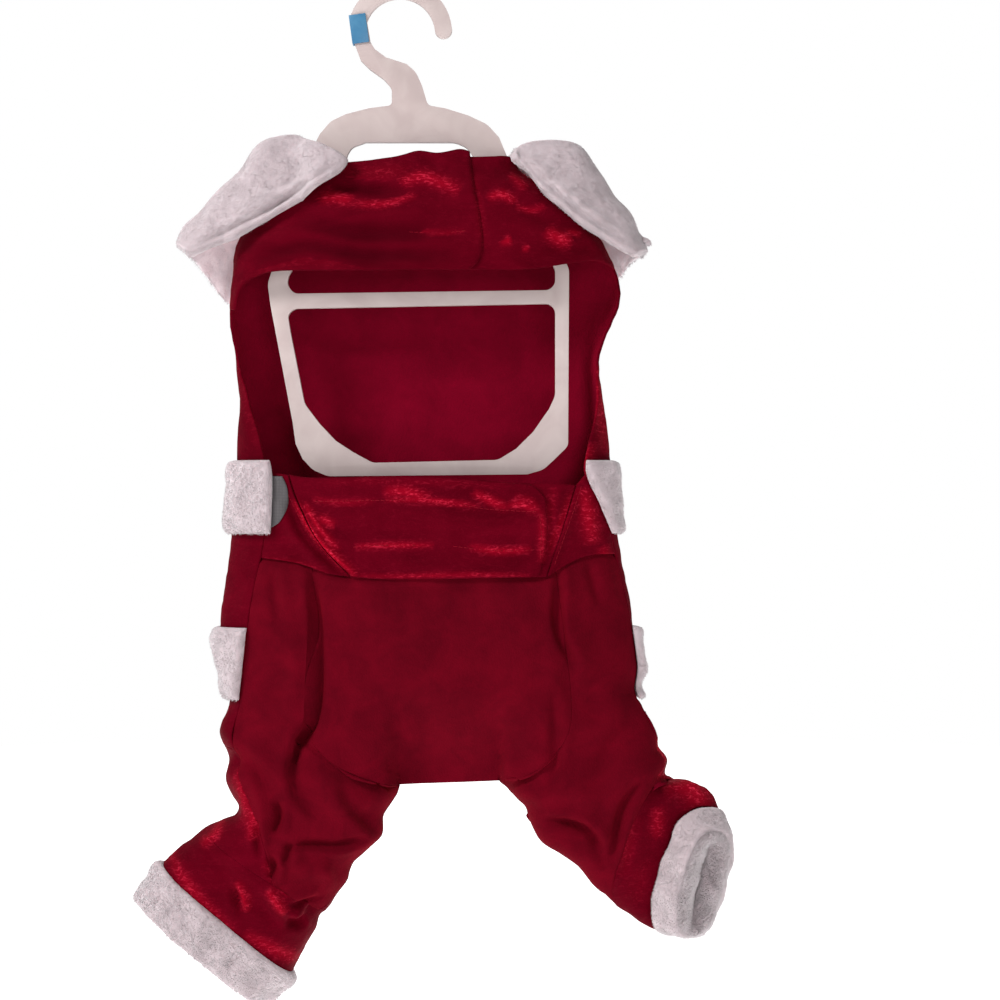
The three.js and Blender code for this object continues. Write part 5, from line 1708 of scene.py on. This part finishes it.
@dataclass
class Stitching:
    """Rows of lock stitches: short rounded threads laid end to end with small gaps.

    Attributes:
        pitch: Stitch length in mm.
        gap: Gap between stitches in mm.
        thick: Thread thickness in mm.
    """

    pitch: float = 2.8
    gap: float = 0.7
    thick: float = 0.3
    rows: tuple[tuple[str, float, Line], ...] = (
        ("chest_flap", CLOTH + SEAM, ((6, -130.8), (22, -131.6), (37, -130.6))),
        ("strap_row_left", 0.0, ((-45, -276.5), (-24, -276), (10, -275.5))),
        ("strap_row_right", CLOTH + SEAM, ((30, -277), (48, -280.5), (75, -282))),
        ("strap_side_right", CLOTH + SEAM, ((76, -284), (77, -294), (76.5, -308))),
        ("strap_low", 0.0, ((-24, -301), (-8, -300), (10, -300))),
        ("strap_low_right", CLOTH + SEAM, ((30, -300.5), (54, -303), (74, -302.5))),
        ("yoke_left", 0.0, ((-61.5, -267), (-57.5, -277), (-46, -298), (-30, -313.5))),
        ("yoke_right", 0.0, ((99, -268), (91.5, -290), (84.5, -311))),
    )

    def stitch(self, line: Line, lift: float) -> np.ndarray:
        """Ends of the stitches of one row on the dressed cloth, as pairs of points in mm."""
        path = rounded_line(line, 12)
        length = np.linalg.norm(np.diff(path, axis=0), axis=1).sum()
        count = max(2, round(length / self.pitch))
        share = (np.arange(count)[:, None] + np.array([0.0, 1 - self.gap / self.pitch])) / count
        flat = np.stack([resample(path, share[:, k]) for k in (0, 1)], axis=1)
        phi, z = FORM.angle(flat[..., 0], flat[..., 1]), flat[..., 1]
        skin = dressed(FORM.point(phi, z), FORM.normals(phi, z), 0.4)
        return skin.points + skin.normals * (lift + self.thick * 0.25)

    def build(self) -> None:
        """Joins all stitches in one mesh of eight-sided capsules."""
        ends = np.concatenate([self.stitch(line, lift) for _, lift, line in self.rows])
        way = ends[:, 1] - ends[:, 0]
        way /= np.linalg.norm(way, axis=1, keepdims=True)
        angle = np.linspace(0, 2 * math.pi, 8, endpoint=False)
        spread = spokes(way, np.array([0.0, 1.0, 0.0]), angle)
        half = self.thick / 2
        profile = ((0, -0.0, 0.45), (0, 0.35, 1.0), (1, -0.35, 1.0), (1, 0.0, 0.45))
        loops = [ends[:, end][:, None] + way[:, None] * (along * half * 2) + spread * half * wide
                 for end, along, wide in profile]
        vertices = np.stack(loops, axis=1).reshape(-1, 3)
        ring, count = np.arange(8), len(ends)
        quads = np.concatenate([np.stack([ring + 8 * k, (ring + 1) % 8 + 8 * k, (ring + 1) % 8 + 8 * (k + 1),
                                          ring + 8 * (k + 1)], 1) for k in range(3)])
        caps = np.array([ring[::-1], ring + 24])
        offset = 32 * np.arange(count)[:, None, None]
        faces = [(quads[None] + offset).reshape(-1, 4), (caps[None] + offset).reshape(-1, 8)]
        settle(new_object("stitches_thread", vertices, faces, [THREAD]), "velvet")


@dataclass
class HangerDress:
    """The moulded hanger and the clip on its hook, with their edges rounded."""

    edge: float = 0.8
    corner: float = 2.2
    clip_edge: float = 0.3

    @staticmethod
    def copy_of(node: str, name: str, finish: Finish, edge: float, corner: float = 0.0) -> bpy.types.Object:
        """Copies a node, merges its doubled corners and rounds its outline's corners and edges."""
        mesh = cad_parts[node].data.copy()
        mesh.materials.clear()
        mesh.materials.append(finish.material())
        shell = bmesh.new()
        shell.from_mesh(mesh)
        bmesh.ops.remove_doubles(shell, verts=shell.verts, dist=1e-6)
        bmesh.ops.dissolve_limit(shell, angle_limit=math.radians(1), verts=shell.verts, edges=shell.edges)
        if corner:
            upright = [e for e in shell.edges if abs(e.verts[0].co.y - e.verts[1].co.y) > 3 * MM
                       and e.calc_face_angle(0) > math.radians(20) and e.verts[0].co.z < -40 * MM]
            bmesh.ops.bevel(shell, geom=upright, offset=corner * MM, segments=5, profile=0.5, affect="EDGES",
                            clamp_overlap=True)
        sharp = [e for e in shell.edges if len(e.link_faces) == 2 and e.calc_face_angle(0) > math.radians(50)]
        bmesh.ops.bevel(shell, geom=sharp, offset=edge * MM, segments=3, profile=0.5, affect="EDGES",
                        clamp_overlap=True)
        for face in shell.faces:
            face.smooth = True
        shell.to_mesh(mesh)
        shell.free()
        piece = bpy.data.objects.new(name, mesh)
        bpy.context.scene.collection.objects.link(piece)
        mesh.set_sharp_from_angle(angle=math.radians(35))
        return piece

    def build(self) -> None:
        """Makes both pieces."""
        hanger = self.copy_of("hanger", "hanger_moulded", HANGER_PLASTIC, self.edge, self.corner)
        settle(hanger, "plastic", "hanger")
        clip = self.copy_of("size_marker", "size_marker_clip", CLIP_PLASTIC, self.clip_edge)
        settle(clip, "marker", "size_marker")


@dataclass
class Studio:
    """Camera in front, soft light from above and the left, white surround and floor."""

    camera_place: tuple[float, float, float] = (0.055, -1.2, -0.2756)
    field_of_view: float = 25.81  # degrees
    floor_height: float = -0.62
    floor_middle: tuple[float, float] = (55.0, 400.0)  # mm
    floor_radius: float = 1600.0  # mm
    surround: float = 0.3  # light from all round, which the camera sees as white
    lights: tuple = (
        ("key", (-0.95, -0.75, 0.65), 0.5, 18.0),
        ("fill", (0.5, -1.6, -0.2), 1.0, 5.0),
        ("rim", (0.1, 0.9, 0.9), 0.9, 8.0),
    )

    def build(self) -> None:
        """Makes the studio."""
        scene = bpy.context.scene
        scene.view_settings.view_transform = "Standard"
        camera = bpy.data.objects.new("camera", bpy.data.cameras.new("camera"))
        camera.data.angle = math.radians(self.field_of_view)
        camera.location = self.camera_place
        camera.rotation_euler = (math.radians(90), 0, 0)
        scene.collection.objects.link(camera)
        scene.camera = camera
        for name, place, size, power in self.lights:
            light = bpy.data.lights.new(name, "AREA")
            light.shape, light.size, light.energy = "DISK", size, power
            lamp = bpy.data.objects.new(name, light)
            lamp.location = place
            aim = Vector(self.camera_place)
            aim.y = 0
            lamp.rotation_euler = (aim - lamp.location).to_track_quat("-Z", "Y").to_euler()
            scene.collection.objects.link(lamp)
        world = bpy.data.worlds.new("surround")
        scene.world = world
        world.use_nodes = True
        tree = world.node_tree
        tree.nodes.clear()
        seen = add_node(tree, "ShaderNodeLightPath").outputs["Is Camera Ray"]
        strength = add_node(tree, "ShaderNodeMapRange", {"To Min": self.surround, "To Max": 1.0},
                            {"Value": seen})
        light = add_node(tree, "ShaderNodeBackground", {"Color": (1, 1, 1, 1)},
                         {"Strength": strength.outputs["Result"]})
        add_node(tree, "ShaderNodeOutputWorld", links={"Surface": light.outputs["Background"]})
        angle = np.linspace(0, 2 * math.pi, 64, endpoint=False)
        x, y = self.floor_middle
        rim = np.stack([x + self.floor_radius * np.cos(angle), y + self.floor_radius * np.sin(angle),
                        0 * angle + self.floor_height / MM], 1)
        floor = new_object("studio_floor", rim, [np.arange(64)[None]], [PaleFloor("floor_matt_white")])


def main() -> None:
    """Builds the pieces in order, then the studio."""
    logging.basicConfig(level=logging.INFO, format="%(message)s")
    for part in (HangerDress(), CoatBack(), FurBands(), ChestBand(), BellyStrap(), SideLabel(), Trousers(),
                 Collar(), Stitching(), Studio()):
        LOG.info("building %s", type(part).__name__)
        part.build()


if __name__ == "__main__":
    main()
